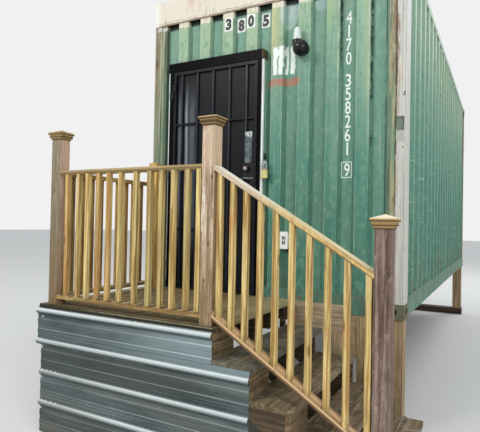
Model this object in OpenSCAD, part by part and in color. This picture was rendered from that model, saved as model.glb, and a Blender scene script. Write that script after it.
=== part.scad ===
// Shipping container cabin: raised high cube container with an end-wall door,
// timber landing, railings, open stair and ribbed sheet skirt. Millimetres, +Z up.
// X runs along the door end, Y runs from the door end to the cargo end, Z = 0 is the ground.

/* [Container] */
// outside width of the container
cabin_w = 2438; // [2000:1:3000]
// outside length of the container
cabin_l = 6058; // [3000:1:12192]
// outside height of the container
cabin_h = 2896; // [2400:1:2896]
// underside of the container above the ground
base_z = 870; // [790:1:1100]
// width of a corner post seen from the door end
post_w = 140; // [125:1:175]
// depth of a corner post along the container
post_d = 150; // [100:1:175]
// width of the outer, flush part of a corner post
post_out_w = 80; // [60:1:100]
// how far the inner part of a corner post lies back
post_step = 8; // [4:1:20]
// steel thickness of a corner post
post_t = 6; // [4:0.5:10]
// width of a corner casting
casting_w = 162; // [150:1:170]
// length of a corner casting
casting_l = 178; // [170:1:190]
// height of a corner casting
casting_h = 118; // [110:1:125]
// how far the castings stand proud of the frame
casting_proud = 3; // [2:0.5:6]
// height of the painted header over the door end
header_h = 244; // [100:1:300]
// thickness of the painted plate over the header
plate_t = 5; // [4:0.5:8]
// depth of the header and the sill
rail_d = 60; // [40:1:80]
// steel thickness of the rails
rail_t = 4; // [3:0.5:6]
// floor surface above the underside of the container
floor_h = 165; // [150:1:180]
// thickness of the floor boards
floor_t = 28; // [20:1:35]
// largest distance between two floor crossmembers
cross_pitch = 310; // [250:1:400]

/* [Corrugation] */
// wall sheet thickness
sheet_t = 2; // [1.5:0.1:4]
// pitch of the end wall corrugations
end_pitch = 250; // [220:1:280]
// outer flat of an end wall corrugation
end_crest = 110; // [80:1:120]
// width of a sloping side of an end wall corrugation
end_slope = 18; // [12:1:25]
// depth of the end wall corrugations
end_depth = 45.6; // [30:0.1:50]
// pitch of the side wall corrugations
side_pitch = 278; // [240:1:300]
// outer flat of a side wall corrugation
side_crest = 72; // [60:1:90]
// width of a sloping side of a side wall corrugation
side_slope = 68; // [50:1:70]
// depth of the side wall corrugations
side_depth = 36; // [25:0.1:40]
// pitch of the roof corrugations
roof_pitch = 209; // [180:1:240]
// depth of the roof corrugations
roof_depth = 20; // [12:0.1:25]

/* [Front door] */
// width of wall sheet between the left corner post and the doorway
door_in = 86; // [60:1:110]
// width of the doorway in the wall
door_open_w = 988; // [950:1:990]
// top of the doorway below the painted header
door_drop = 405; // [380:1:600]
// width of the steel door jamb on the hinge side
jamb_l_w = 41; // [30:1:45]
// width of the steel door jamb on the lock side
jamb_w = 30; // [25:1:40]
// height of the steel door head
head_h = 86; // [50:1:90]
// how far the door frame stands out from the wall
frame_out = 44; // [40:1:60]
// clearance between the leaf and what is fixed around it
door_gap = 6; // [5:0.5:10]
// thickness of the door leaf
leaf_t = 38; // [30:1:40]
// underside of the leaf above the landing
leaf_lift = 20; // [15:1:40]
// width of the tubes of the leaf
tube_w = 28; // [24:1:50]
// side of a square bar of the leaf
bar_w = 16; // [10:1:20]
// number of upright bars
bar_n = 5; // [3:1:5]
// pitch of the upright bars
bar_pitch = 175; // [150:1:180]
// shift of the upright bars towards the hinges
bar_shift = 8; // [0:1:12]
// height of a cross rail of the leaf
mid_h = 16; // [14:1:40]
// swing radius of a hinge barrel
barrel_r = 8; // [6:0.5:10]
// width of the white batten left of the door frame
batten_w = 16; // [10:1:26]
// width of the white batten right of the door frame
batten_r_w = 17; // [12:1:30]
// left side of the padlock from the edge of the doorway
padlock_in = 27; // [20:1:40]

/* [Wall fittings] */
// middle of the wall light below the painted header
light_drop = 461; // [400:1:700]
// radius of the round body of the wall light
globe_r = 67; // [50:1:90]
// middle of the outlet plate above the underside of the container
outlet_z = 575; // [400:1:1000]
// middle of the number plates below the painted header
plate_drop = 122; // [90:1:200]
// width of a number plate
plate_w = 84; // [60:1:84]
// height of a number plate
plate_h = 126; // [80:1:150]

/* [Landing] */
// top of the landing above the ground
deck_z = 950; // [900:1:1100]
// left edge of the landing from the left side of the container
deck_in = 21; // [-20:1:60]
// width of the landing
deck_w = 1539; // [1500:1:1650]
// how far the landing reaches out from the wall
deck_out = 1320; // [1200:1:1500]
// thickness of the deck boards
deck_t = 28; // [25:1:38]
// number of deck boards
deck_n = 11; // [9:1:12]
// width of the border board along the front edge
border_w = 118; // [100:1:140]
// gap between deck boards
deck_gap = 6; // [3:0.5:10]
// thickness of the framing timber
timber_t = 38; // [35:1:45]
// depth of the landing joists
joist_h = 140; // [120:1:184]
// side of the square posts
newel = 89; // [80:1:100]
// clearance around a post where it passes a board
notch_gap = 3; // [2:0.5:6]
// front faces of the posts, in from the front edge of the landing
post_in = 30; // [20:1:60]
// left face of the left post from the left edge of the landing
post_a_in = 59; // [48:1:88]
// left face of the landing corner post from the right edge of the landing
post_b_in = 122; // [122:1:141]
// left face of the stair foot post from the right edge of the landing
post_c_out = 943; // [910:1:980]
// rear left post, front face out from the wall
post_d_out = 185; // [170:1:300]
// rear left post, shift to the right of the left post
post_d_in = 30; // [0:1:45]
// height of the landing posts above the landing
newel_h = 1238; // [1150:1:1300]
// height of the rear post above the landing
newel_d_h = 1190; // [1100:1:1250]
// top of the stair foot post above the ground
newel_c_h = 1570; // [1500:1:1650]
// width of a post cap
cap_w = 134; // [122:1:160]
// height of a post cap
cap_h = 76; // [60:1:90]

/* [Railings] */
// top of the landing rails above the landing
guard_h = 1000; // [900:1:1070]
// thickness of the landing top rails
guard_t = 28; // [25:1:40]
// underside of the bottom rails above the landing
low_rail_z = 46; // [30:1:70]
// side of the square balusters
bal_w = 32; // [28:1:42]
// number of balusters in the left railing
side_bal_n = 9; // [7:1:10]
// fall of the stair railing per length
rake = 0.61; // [0.55:0.01:0.65]
// top of the handrail above the landing where it meets the corner post
hand_h = 989; // [950:1:1010]
// top of the stair bottom rail above the landing at the corner post
low_hand_h = 74; // [68:1:85]
// thickness of the fillers between the stair balusters
fill_t = 20; // [8:1:25]
// gap at the ends of a filler
fill_gap = 1.5; // [1:0.5:4]

/* [Stair] */
// number of steps up from the ground
rise_n = 5; // [5:1:5]
// going of one tread
going = 257; // [250:1:265]
// thickness of the treads
tread_t = 38; // [35:1:45]
// how far a tread oversails the block under its edge
nosing = 8; // [5:1:15]
// thickness of a riser block
riser_t = 30; // [25:1:30]
// length of a riser block across the stair
riser_l = 265; // [200:1:330]
// gap between the treads and the wall
tread_back = 100; // [80:1:150]
// length of the foot of the outer stringer on the ground
outer_foot = 109; // [90:1:180]
// length of the foot of an inner stringer on the ground
inner_foot = 230; // [150:1:250]

/* [Skirt sheet] */
// thickness of the ribbed sheet
skirt_t = 1; // [0.8:0.1:2]
// top of the sheet below the landing
skirt_drop = 22; // [10:1:40]
// pitch of the large ribs
rib_pitch = 225; // [200:1:240]
// height of the large ribs
rib_h = 19; // [12:1:22]
// height of the low ribs between the large ones
bead_h = 3; // [2:0.5:6]
// width of the low ribs
bead_w = 26; // [15:1:40]
// how far the lower sheet starts right of the upper one
skirt_lap = 42; // [0:1:60]
// bottom of the sheet above the ground
skirt_gap = 10; // [5:1:30]

/* [Supports] */
// right end of the board beside the landing, from the right side of the container
board_in = 438; // [430:1:600]
// how far the board hangs below the container
board_down = 146; // [60:1:200]
// how far the board reaches up on the sill
board_up = 74; // [30:1:120]
// top of the brick pier below the container
brick_down = 323; // [250:1:500]
// width of the short plank beside the front pier
plank_w = 68; // [50:1:69]
// thickness of the ground sleepers
sleeper_h = 100; // [80:1:150]
// width of a ground sleeper
sleeper_w = 200; // [150:1:250]
// side of the heavy timber posts
pier_w = 140; // [120:1:160]

/* [Hidden] */
hw = cabin_w / 2;
frame_x = hw - casting_proud;
roof_z = base_z + cabin_h;
floor_z = base_z + floor_h;
wall_top = roof_z - header_h;
wall_x = frame_x - post_w;
side_y0 = post_d;
side_y1 = cabin_l - post_d;
cast_y1 = casting_l - casting_proud;
door_x = -wall_x + door_in;
door_x1 = door_x + door_open_w;
door_top = wall_top - door_drop;
leaf_x0 = door_x + jamb_l_w + door_gap;
leaf_x1 = door_x1 - jamb_w - door_gap;
leaf_z0 = deck_z + leaf_lift;
leaf_z1 = door_top - head_h - door_gap;
leaf_y0 = -frame_out;
leaf_y1 = leaf_y0 + leaf_t;
hinge_x = leaf_x0 - door_gap / 2;
hinge_y = leaf_y0 - barrel_r;
rise = deck_z / rise_n;
deck_under = deck_z - deck_t;
deck_x0 = -hw + deck_in;
deck_x1 = deck_x0 + deck_w;
post_a_x = deck_x0 + post_a_in;
post_b_x = deck_x1 - post_b_in;
post_c_x = deck_x1 + post_c_out;
post_d_x = post_a_x + post_d_in;
post_y = -deck_out + post_in;
rim_y = post_y - timber_t;
floor_half = frame_x - 51;
skirt_y = rim_y - skirt_t;
bal_y = post_y + 2;

// which part to draw

// box given by its two opposite corners
module span(x0, x1, y0, y1, z0, z1) {
  translate([x0, y0, z0]) cube([x1 - x0, y1 - y0, z1 - z0]);
}

// square tube along X, Y or Z, open at both ends
module tube_z(x0, x1, y0, y1, z0, z1, t) {
  difference() {
    span(x0, x1, y0, y1, z0, z1);
    span(x0 + t, x1 - t, y0 + t, y1 - t, z0 - 1, z1 + 1);
  }
}
module tube_x(x0, x1, y0, y1, z0, z1, t) {
  difference() {
    span(x0, x1, y0, y1, z0, z1);
    span(x0 - 1, x1 + 1, y0 + t, y1 - t, z0 + t, z1 - t);
  }
}
module tube_y(x0, x1, y0, y1, z0, z1, t) {
  difference() {
    span(x0, x1, y0, y1, z0, z1);
    span(x0 + t, x1 - t, y0 - 1, y1 + 1, z0 + t, z1 - t);
  }
}

// folded sheet outline: ridges of the given centres stand out to v = 0, valleys lie at v = depth
function ridge(c, flat, slope, depth, k, v0) = [
  [c - flat / 2 - slope + k, v0 + depth], [c - flat / 2 + k, v0],
  [c + flat / 2 - k, v0], [c + flat / 2 + slope - k, v0 + depth]];
function flatten(l) = [for (a = l) for (b = a) b];
function fold_k(slope, depth) = sheet_t * tan(atan2(depth, slope) / 2);
module folded(u0, u1, centres, flat, slope, depth) {
  k = fold_k(slope, depth);
  outer = concat([[u0, depth]],
    flatten([for (c = centres) ridge(c, flat, slope, depth, 0, 0)]), [[u1, depth]]);
  inner = concat([[u0, depth + sheet_t]],
    flatten([for (c = centres) ridge(c, flat, slope, depth, k, sheet_t)]), [[u1, depth + sheet_t]]);
  polygon(concat(outer, [for (i = [len(inner) - 1:-1:0]) inner[i]]));
}

// ridge centres of the end wall between two positions, always whole ridges
end_n = floor((2 * wall_x - 2 * (end_crest / 2 + end_slope) - 10) / end_pitch) + 1;
function end_c(i) = (i - (end_n - 1) / 2) * end_pitch;
function end_between(a, b) = [for (i = [0:end_n - 1])
  if (end_c(i) - end_crest / 2 - end_slope > a + 2 && end_c(i) + end_crest / 2 + end_slope < b - 2)
    end_c(i)];
module end_sheet(x0, x1, z0, z1) {
  translate([0, 0, z0]) linear_extrude(z1 - z0)
    folded(x0, x1, end_between(x0, x1), end_crest, end_slope, end_depth);
}

module front_wall_left() {
  color("seagreen") end_sheet(-wall_x, door_x, floor_z, wall_top);
}
module front_wall_over_door() {
  color("seagreen") end_sheet(door_x, door_x1, door_top, wall_top);
}
module front_wall_right() {
  color("seagreen") end_sheet(door_x1, wall_x, floor_z, wall_top);
}
module front_header() {
  color("wheat") difference() {
    tube_x(-wall_x, wall_x, 0, rail_d, wall_top, roof_z - casting_proud, rail_t);
    casting_room();
  }
}
// plate across the whole width, over the header and the faces of the top castings
module header_plate() {
  color("wheat") difference() {
    span(-hw, hw, -plate_t, 0, wall_top, roof_z - casting_proud);
    casting_room();
  }
}
module front_sill() {
  color("seagreen") difference() {
    tube_x(-wall_x, wall_x, 0, rail_d, base_z + casting_proud, floor_z, rail_t);
    casting_room_low();
  }
}

// the four corners of the container, mirrored from the front right one
module corners() {
  for (s = [0, 1]) for (e = [0, 1])
    translate([0, e * cabin_l, 0]) mirror([0, e, 0]) mirror([s, 0, 0]) children();
}
module corner_posts() {
  m = frame_x - post_out_w;
  z0 = base_z + casting_h;
  z1 = roof_z - casting_h;
  color("olivedrab") corners() {
    tube_z(m, frame_x, 0, post_d, z0, z1, post_t);
    tube_z(wall_x, m + post_t, post_step, post_d, z0, z1, post_t);
  }
}
// one casting with its oval holes on the end, the side and the top or bottom face
module casting() {
  c = 10;
  hole_l = 124;
  hole_s = 79;
  difference() {
    cube([casting_w, casting_l, casting_h]);
    translate([c, c + 2, -1]) cube([casting_w - 2 * c - 2, casting_l - 2 * c - 4, casting_h - c - 12]);
    translate([casting_w / 2, casting_l / 2, casting_h - 40]) linear_extrude(60) slot2(hole_l - 63.5, 31.75);
    translate([casting_w / 2, 20, 58]) rotate([90, 0, 0]) linear_extrude(40) slot2(0.1, 25.5);
    translate([casting_w - 20, casting_l / 2, 58]) rotate([90, 0, 90])
      linear_extrude(40) slot2(hole_s - 51, 25.5);
  }
}
// oval made of two circles and a box
module slot2(l, r) {
  translate([-l / 2, -r]) square([l, 2 * r]);
  translate([-l / 2, 0]) circle(r, $fn = 48);
  translate([l / 2, 0]) circle(r, $fn = 48);
}
module corner_castings() {
  color("dimgray") corners() {
    translate([hw - casting_w, -casting_proud, roof_z - casting_h]) casting();
    translate([hw - casting_w, -casting_proud, base_z + casting_h]) mirror([0, 0, 1]) casting();
  }
}

// side wall: ridge centres along Y
side_n = floor((side_y1 - side_y0 - side_crest - 2 * side_slope - 40) / side_pitch) + 1;
side_mid = cabin_l / 2;
side_cs = [for (i = [0:side_n - 1]) side_mid + (i - (side_n - 1) / 2) * side_pitch];
rail_top_z = roof_z - 66;
module side_sheet() {
  translate([-frame_x + 2, 0, floor_z]) linear_extrude(rail_top_z - floor_z)
    mirror([1, -1]) folded(side_y0, side_y1, side_cs, side_crest, side_slope, side_depth);
}
// room for the top castings
module casting_room() {
  corners() span(hw - casting_w, hw, -casting_proud, cast_y1, roof_z - casting_h, roof_z + 1);
}
// room for the bottom castings
module casting_room_low() {
  corners() span(hw - casting_w, hw, -casting_proud, cast_y1, base_z - 1, base_z + casting_h);
}
module left_side_wall() {
  color("seagreen") difference() {
    side_sheet();
    casting_room();
  }
}
module right_side_wall() {
  color("seagreen") mirror([1, 0, 0]) difference() {
    side_sheet();
    casting_room();
  }
}
module side_top_rails() {
  color("seagreen") for (s = [0, 1]) mirror([s, 0, 0])
    tube_y(frame_x - 60, frame_x, cast_y1, cabin_l - cast_y1, rail_top_z, roof_z - 6, rail_t);
}
module side_bottom_rails() {
  color("darkslategray") for (s = [0, 1]) mirror([s, 0, 0]) difference() {
    span(frame_x - 48, frame_x, cast_y1, cabin_l - cast_y1, base_z + 12, floor_z);
    span(frame_x - 49, frame_x - rail_t, cast_y1 - 1, cabin_l - cast_y1 + 1,
      base_z + 12 + rail_t, floor_z - rail_t);
  }
}
roof_n = floor((cabin_l - 2 * rail_d - 160) / roof_pitch);
roof_cs = [for (i = [0:roof_n - 1]) side_mid + (i - (roof_n - 1) / 2) * roof_pitch];
module roof_panel() {
  color("seagreen") difference() {
    translate([-(frame_x - 60), 0, roof_z - 8]) rotate([90, 0, 90])
      linear_extrude(2 * (frame_x - 60)) mirror([0, 1])
        folded(rail_d, cabin_l - rail_d, roof_cs, 90, 30, roof_depth);
    casting_room();
  }
}
module floor_boards() {
  sheets = max(2, round((cabin_l - 2 * rail_d) / 1190));
  l = (cabin_l - 2 * rail_d) / sheets;
  color("peru") for (i = [0:sheets - 1])
    difference() {
      span(-floor_half, floor_half, rail_d + i * l + 1, rail_d + (i + 1) * l - 1,
        floor_z - floor_t, floor_z);
      corners() span(wall_x - 1, frame_x, 0, cast_y1 + 1, floor_z - floor_t - 1, floor_z + 1);
    }
}
module floor_crossmembers() {
  y0 = cast_y1 + 85;
  n = ceil((cabin_l - 2 * y0) / cross_pitch);
  p = (cabin_l - 2 * y0) / n;
  color("darkslategray") for (i = [0:n]) translate([0, y0 + i * p, 0]) difference() {
    span(-(frame_x - rail_t), frame_x - rail_t, -22, 22, base_z + 12 + rail_t, floor_z - floor_t);
    span(-frame_x, frame_x, -22 + rail_t, 23, base_z + 16 + rail_t, floor_z - floor_t - rail_t);
    for (s = [0, 1]) mirror([s, 0, 0])
      span(frame_x - 49, frame_x, -23, 23, floor_z - floor_t - 1, floor_z);
  }
}

// cargo end
rear_sill_h = 144;
rear_head_h = casting_h;
rear_z0 = base_z + rear_sill_h;
rear_z1 = roof_z - rear_head_h;
// width of the rubber seal round a cargo door
seal_w = 12;
cargo_t = 46;
cargo_x0 = seal_w;
cargo_x1 = wall_x - seal_w;
cargo_z0 = rear_z0 + seal_w;
cargo_z1 = rear_z1 - seal_w;
module rear_frame() {
  color("seagreen") difference() {
    union() {
      tube_x(-wall_x, wall_x, cabin_l - rail_d, cabin_l, rear_z1, roof_z - casting_proud, rail_t);
      tube_x(-wall_x, wall_x, cabin_l - rail_d, cabin_l, base_z + casting_proud, rear_z0, rail_t);
    }
    casting_room();
    casting_room_low();
  }
}
// the rows pressed into a cargo door between its edge tubes
cargo_edge = 60;
cargo_rows = 5;
cargo_row_h = (cargo_z1 - cargo_z0 - 2 * cargo_edge) / cargo_rows;
module cargo_leaf() {
  y1 = cabin_l;
  y0 = y1 - cargo_t;
  px0 = cargo_x0 + cargo_edge;
  px1 = cargo_x1 - cargo_edge;
  difference() {
    span(cargo_x0, cargo_x1, y0, y1, cargo_z0, cargo_z1);
    span(px0, px1, y0 - 1, y1 - 44, cargo_z0 + cargo_edge, cargo_z1 - cargo_edge);
    for (i = [0:cargo_rows - 1]) {
      z = cargo_z0 + cargo_edge + i * cargo_row_h;
      span(px0, px1, y1 - 38, y1 + 1, z + (i == 0 ? 0 : 35), z + cargo_row_h - (i == cargo_rows - 1 ? 0 : 35));
    }
  }
}
module cargo_doors() {
  color("seagreen") for (s = [0, 1]) mirror([s, 0, 0]) cargo_leaf();
}
module cargo_door_gasket() {
  color("black") for (s = [0, 1]) mirror([s, 0, 0]) difference() {
    span(1, wall_x, cabin_l - cargo_t + 4, cabin_l - 8, rear_z0, rear_z1);
    span(cargo_x0, cargo_x1, cabin_l - cargo_t, cabin_l, cargo_z0, cargo_z1);
  }
}
// locking bars with their cams, keepers, guides and handles, and the hinges
function cargo_ridge_z(i) = cargo_z0 + cargo_edge + i * cargo_row_h;
module bar_guide(x, y, z) {
  difference() {
    span(x - 42, x + 42, cabin_l, y + 4, z - 26, z + 26);
    translate([x, y, z - 30]) cylinder(r = 17.5, h = 60, $fn = 32);
    for (t = [-34, 34]) translate([x + t, y + 2, z]) cube([22, 40, 80], center = true);
  }
}
module cargo_door_gear() {
  y = cabin_l + 26;
  bars = [cargo_x0 + 150, cargo_x1 - 220];
  z = cargo_ridge_z(2);
  post_face = cabin_l - post_step;
  color("silver") for (s = [0, 1]) mirror([s, 0, 0]) {
    for (x = bars) {
      translate([x, y, base_z + 58]) cylinder(r = 17, h = cabin_h - 116, $fn = 32);
      for (g = [cargo_z0 + 30, cargo_ridge_z(1), cargo_ridge_z(3), cargo_ridge_z(4), cargo_z1 - 30])
        bar_guide(x, y, g);
      for (k = [base_z + 46, roof_z - 96]) {
        span(x - 38, x + 8, cabin_l + 14, y + 14, k + 12, k + 38);
        span(x - 46, x - 30, cabin_l, y + 10, k, k + 50);
        span(x + 20, x + 34, cabin_l, y + 10, k, k + 50);
      }
      translate([x, y, z - 34]) cylinder(r = 24, h = 68, $fn = 32);
    }
    for (e = [[bars[0] + 8, bars[0] + 310, bars[0] + 270], [bars[1] - 310, bars[1] - 8, bars[1] - 270]]) {
      span(e[0], e[1], y + 12, y + 22, z - 15, z + 15);
      span(e[2] - 28, e[2] + 28, cabin_l, y + 12, z - 30, z + 30);
    }
    for (h = [cargo_z0 + 130, cargo_z0 + 820, cargo_z1 - 820, cargo_z1 - 130]) {
      span(cargo_x1 - cargo_edge, wall_x + 4, cabin_l, cabin_l + 12, h - 45, h + 45);
      translate([wall_x + 12, cabin_l + 14, h - 60]) cylinder(r = 13, h = 120, $fn = 32);
      for (t = [-60, 48])
        span(wall_x + 12, wall_x + 36, post_face, cabin_l + 20, h + t, h + t + 12);
    }
  }
}

// front door frame
jamb_y1 = end_depth + sheet_t;
module jamb(x0, x1) {
  span(x0, x1, leaf_y0, 0, deck_z + 12, door_top - head_h);
  span(x0, x1, -1, jamb_y1, floor_z, door_top - head_h);
}
module door_head() {
  color("black") {
    span(door_x - batten_w, door_x1 + batten_r_w, leaf_y0, end_depth, door_top - head_h, door_top);
    span(door_x, door_x1, 0, jamb_y1, door_top - head_h, door_top);
  }
}
module door_jambs() {
  color("black") {
    jamb(door_x, door_x + jamb_l_w);
    jamb(door_x1 - jamb_w, door_x1);
  }
}
module white_battens() {
  color("white") {
    span(door_x - batten_w, door_x, -frame_out + 10, end_depth, floor_z, door_top - head_h);
    span(door_x1, door_x1 + batten_r_w, -frame_out + 10, end_depth, floor_z, door_top - head_h);
  }
}

// weld-on barrels of the door hinges, the lower half fixed and the upper half on the leaf
hinge_zs = [leaf_z0 + 180, (leaf_z0 + leaf_z1) / 2, leaf_z1 - 260];
module fixed_hinge_barrels() {
  color("black") for (z = hinge_zs) {
    translate([hinge_x, hinge_y, z]) cylinder(r = barrel_r, h = 70, $fn = 48);
    span(door_x + 6, hinge_x, hinge_y - 3, leaf_y0, z + 2, z + 68);
  }
}
module leaf_hinge_barrels() {
  color("black") for (z = hinge_zs) {
    translate([hinge_x, hinge_y, z + 72]) cylinder(r = barrel_r, h = 70, $fn = 48);
    span(hinge_x, leaf_x0 + 28, hinge_y - 3, leaf_y0, z + 74, z + 140);
  }
}

leaf_h = leaf_z1 - leaf_z0;
mid_rail_z = [leaf_z0 + leaf_h * 0.2672, leaf_z0 + leaf_h * 0.7533];
// the three rows between the rails
leaf_rows = [[leaf_z0 + tube_w, mid_rail_z[0] - mid_h / 2],
  [mid_rail_z[0] + mid_h / 2, mid_rail_z[1] - mid_h / 2],
  [mid_rail_z[1] + mid_h / 2, leaf_z1 - tube_w]];
// lever and bolt heights, and the case that holds them
lever_z = leaf_z0 + leaf_h * 0.4871;
bolt_z = leaf_z0 + leaf_h * 0.5353;
case_z0 = lever_z - 80;
case_z1 = bolt_z + 46;
case_x = leaf_x1 - 134;
lock_x = leaf_x1 - 96;
module leaf_frame() {
  color("black") difference() {
    span(leaf_x0, leaf_x1, leaf_y0, leaf_y1, leaf_z0, leaf_z1);
    for (r = leaf_rows)
      span(leaf_x0 + tube_w, leaf_x1 - tube_w, leaf_y0 - 1, leaf_y1 + 1, r[0], r[1]);
  }
}
// upright bars between the cross rails, in three rows
module leaf_bars() {
  color("dimgray") difference() {
    for (i = [1:bar_n]) for (r = leaf_rows) {
      x = (leaf_x0 + leaf_x1) / 2 - bar_shift + (i - (bar_n + 1) / 2) * bar_pitch;
      span(x - bar_w / 2, x + bar_w / 2, leaf_y0 + 3, leaf_y0 + 3 + bar_w, r[0], r[1]);
    }
    span(case_x, leaf_x1, leaf_y0 - 1, leaf_y1, case_z0, case_z1);
  }
}
// dark sheet behind the bars
module leaf_sheet() {
  color("black") for (r = leaf_rows)
    span(leaf_x0 + tube_w, leaf_x1 - tube_w, leaf_y0 + 22, leaf_y0 + 24, r[0], r[1]);
}
module leaf_lockset() {
  color("silver") {
    span(case_x, leaf_x1 - tube_w, leaf_y0 + 4, leaf_y0 + 22, case_z0, case_z1);
    translate([lock_x, leaf_y0 + 5, lever_z]) rotate([90, 0, 0]) cylinder(r = 32, h = 12, $fn = 48);
    translate([lock_x, leaf_y0, lever_z]) rotate([90, 0, 0]) cylinder(r = 11, h = 48, $fn = 32);
    translate([lock_x + 11, leaf_y0 - 38, lever_z - 9]) mirror([1, 0, 0]) cube([118, 14, 18]);
    translate([lock_x, leaf_y0 + 5, bolt_z]) rotate([90, 0, 0]) cylinder(r = 30, h = 24, $fn = 48);
    span(leaf_x1 - 118, leaf_x1 - 35, leaf_y0 - 4, leaf_y0, bolt_z + 48, bolt_z + 325);
    span(leaf_x1 - 96, leaf_x1 - tube_w, leaf_y0, leaf_y0 + 22, bolt_z + 60, bolt_z + 313);
  }
}
module padlock() {
  x = door_x1 + padlock_in;
  z = deck_z + 1078;
  color("goldenrod") {
    span(door_x1, x + 40, -frame_out + 4, -frame_out + 10, z + 58, z + 96);
    span(x + 18, x + 36, -frame_out - 12, -frame_out + 6, z + 72, z + 98);
    span(x + 1, x + 53, -frame_out - 18, -frame_out + 6, z - 50, z + 40);
    translate([x + 27, -frame_out - 6, z + 40]) rotate([90, 0, 0]) shackle();
  }
}
// half ring on two straight legs, drawn upright
module shackle() {
  for (s = [-16, 16]) translate([s, 0, 0]) rotate([-90, 0, 0]) cylinder(r = 4, h = 35, $fn = 24);
  translate([0, 35, 0]) rotate_extrude(angle = 180, $fn = 48) translate([16, 0]) circle(4, $fn = 24);
}
// round body cut flat at the wall, with a lamp standing on its left side
module wall_light() {
  x = end_c(5) - 10;
  z = wall_top - light_drop;
  y = -(globe_r - 14);
  lamp_x = x - 32;
  lamp_z = z + globe_r + 5;
  color("black") {
    translate([x + 10, 0, z]) rotate([90, 0, 0]) cylinder(r = 50, h = 10, $fn = 48);
    difference() {
      translate([x, y, z]) sphere(globe_r, $fn = 64);
      span(x - globe_r, x + globe_r, 0, globe_r, z - globe_r, z + globe_r);
    }
    translate([lamp_x, y, z + globe_r - 36]) cylinder(r = 42, h = 41, $fn = 48);
  }
  color("white") {
    translate([lamp_x, y, lamp_z]) cylinder(r1 = 38, r2 = 27, h = 84, $fn = 48);
    translate([lamp_x, y, lamp_z + 84]) difference() {
      sphere(27, $fn = 48);
      translate([0, 0, -30]) cube([60, 60, 60], center = true);
    }
  }
}
// cover plate beside a ridge, on a box that reaches back into the valley
module outlet_plate() {
  x = end_c(4) + end_crest / 2 + 40;
  z = base_z + outlet_z;
  color("white") difference() {
    union() {
      span(x - 36, x + 36, -4, 2, z - 74, z + 74);
      span(x - 16, x + 30, 2, end_depth, z - 60, z + 60);
    }
    for (t = [-12, 12]) span(x + t - 4, x + t + 4, -5, -1, z - 34, z + 34);
  }
}
// plates sit on ridges and in valleys in turn, a little off their middles
plate_dx = [6, -8, -11, -9];
plate_dz = [12, -1, 1, -2];
module number_plates() {
  color("white") for (i = [0:3]) {
    x = end_c(2) + i * end_pitch / 2 + plate_dx[i];
    z = wall_top - plate_drop + plate_dz[i];
    y = (i % 2 == 0) ? 0 : end_depth;
    span(x - plate_w / 2, x + plate_w / 2, y - 2, y, z - plate_h / 2, z + plate_h / 2);
  }
}

// timber landing
module landing_posts() {
  color("rosybrown") for (x = [post_a_x, post_b_x])
    span(x, x + newel, post_y, post_y + newel, 0, deck_z + newel_h);
}
module post_stair() {
  color("saddlebrown") span(post_c_x, post_c_x + newel, post_y, post_y + newel, 0, newel_c_h);
}
module post_rear() {
  color("goldenrod") span(post_d_x, post_d_x + newel, -post_d_out, -post_d_out + newel,
    0, deck_z + newel_d_h);
}
// stepped cap with a low pyramid on top
module cap() {
  c = cap_w / 2;
  b = cap_h - 54;
  translate([-c + 16, -c + 16, 0]) cube([cap_w - 32, cap_w - 32, 14]);
  translate([-c + 8, -c + 8, 14]) cube([cap_w - 16, cap_w - 16, 24]);
  translate([-c, -c, 38]) cube([cap_w, cap_w, 16]);
  polyhedron(points = [[-c, -c, 54], [c, -c, 54], [c, c, 54], [-c, c, 54], [0, 0, 54 + b]],
    faces = [[0, 1, 2, 3], [1, 0, 4], [2, 1, 4], [3, 2, 4], [0, 3, 4]]);
}
module post_caps() {
  h = newel / 2;
  color("goldenrod") {
    translate([post_a_x + h, post_y + h, deck_z + newel_h]) cap();
    translate([post_b_x + h, post_y + h, deck_z + newel_h]) cap();
    translate([post_c_x + h, post_y + h, newel_c_h]) cap();
  }
}

// room for a post through a board
module post_room(x, y) {
  span(x - notch_gap, x + newel + notch_gap, y - notch_gap, y + newel + notch_gap, -1, deck_z + 300);
}
module all_post_room() {
  post_room(post_a_x, post_y);
  post_room(post_b_x, post_y);
  post_room(post_c_x, post_y);
  post_room(post_d_x, -post_d_out);
}
// border board along the front edge, the others run from it to the wall
module deck_boards() {
  p = (deck_x1 - deck_x0 + deck_gap) / deck_n;
  y0 = -deck_out + border_w;
  color("tan") difference() {
    union() {
      span(deck_x0, deck_x1, -deck_out, y0, deck_under, deck_z);
      for (i = [0:deck_n - 1])
        span(deck_x0 + i * p, deck_x0 + (i + 1) * p - deck_gap, y0 + deck_gap, -8, deck_under, deck_z);
    }
    all_post_room();
  }
}
joist_z0 = deck_under - joist_h;
module deck_frame() {
  x0 = deck_x0 + skirt_lap + 18;
  color("sienna") {
    span(deck_x0, deck_x1 - riser_t, rim_y, post_y, joist_z0, deck_under);
    span(deck_x0, deck_x0 + timber_t, post_y, -timber_t, joist_z0, deck_under);
    span(-hw + casting_w + notch_gap, deck_x1, -timber_t, 0, joist_z0, deck_under);
    for (z = [60, 380]) span(x0, deck_x1 - riser_t, rim_y, post_y, z, z + newel);
  }
}
// three joists across the landing, the first right behind the posts
joist_ys = [post_y + newel + 4, post_y * 0.64, post_y * 0.35];
module deck_joists() {
  color("sienna") for (y = joist_ys)
    span(deck_x0 + timber_t, deck_x1 - riser_t, y, y + timber_t, joist_z0, deck_under);
}

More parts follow.
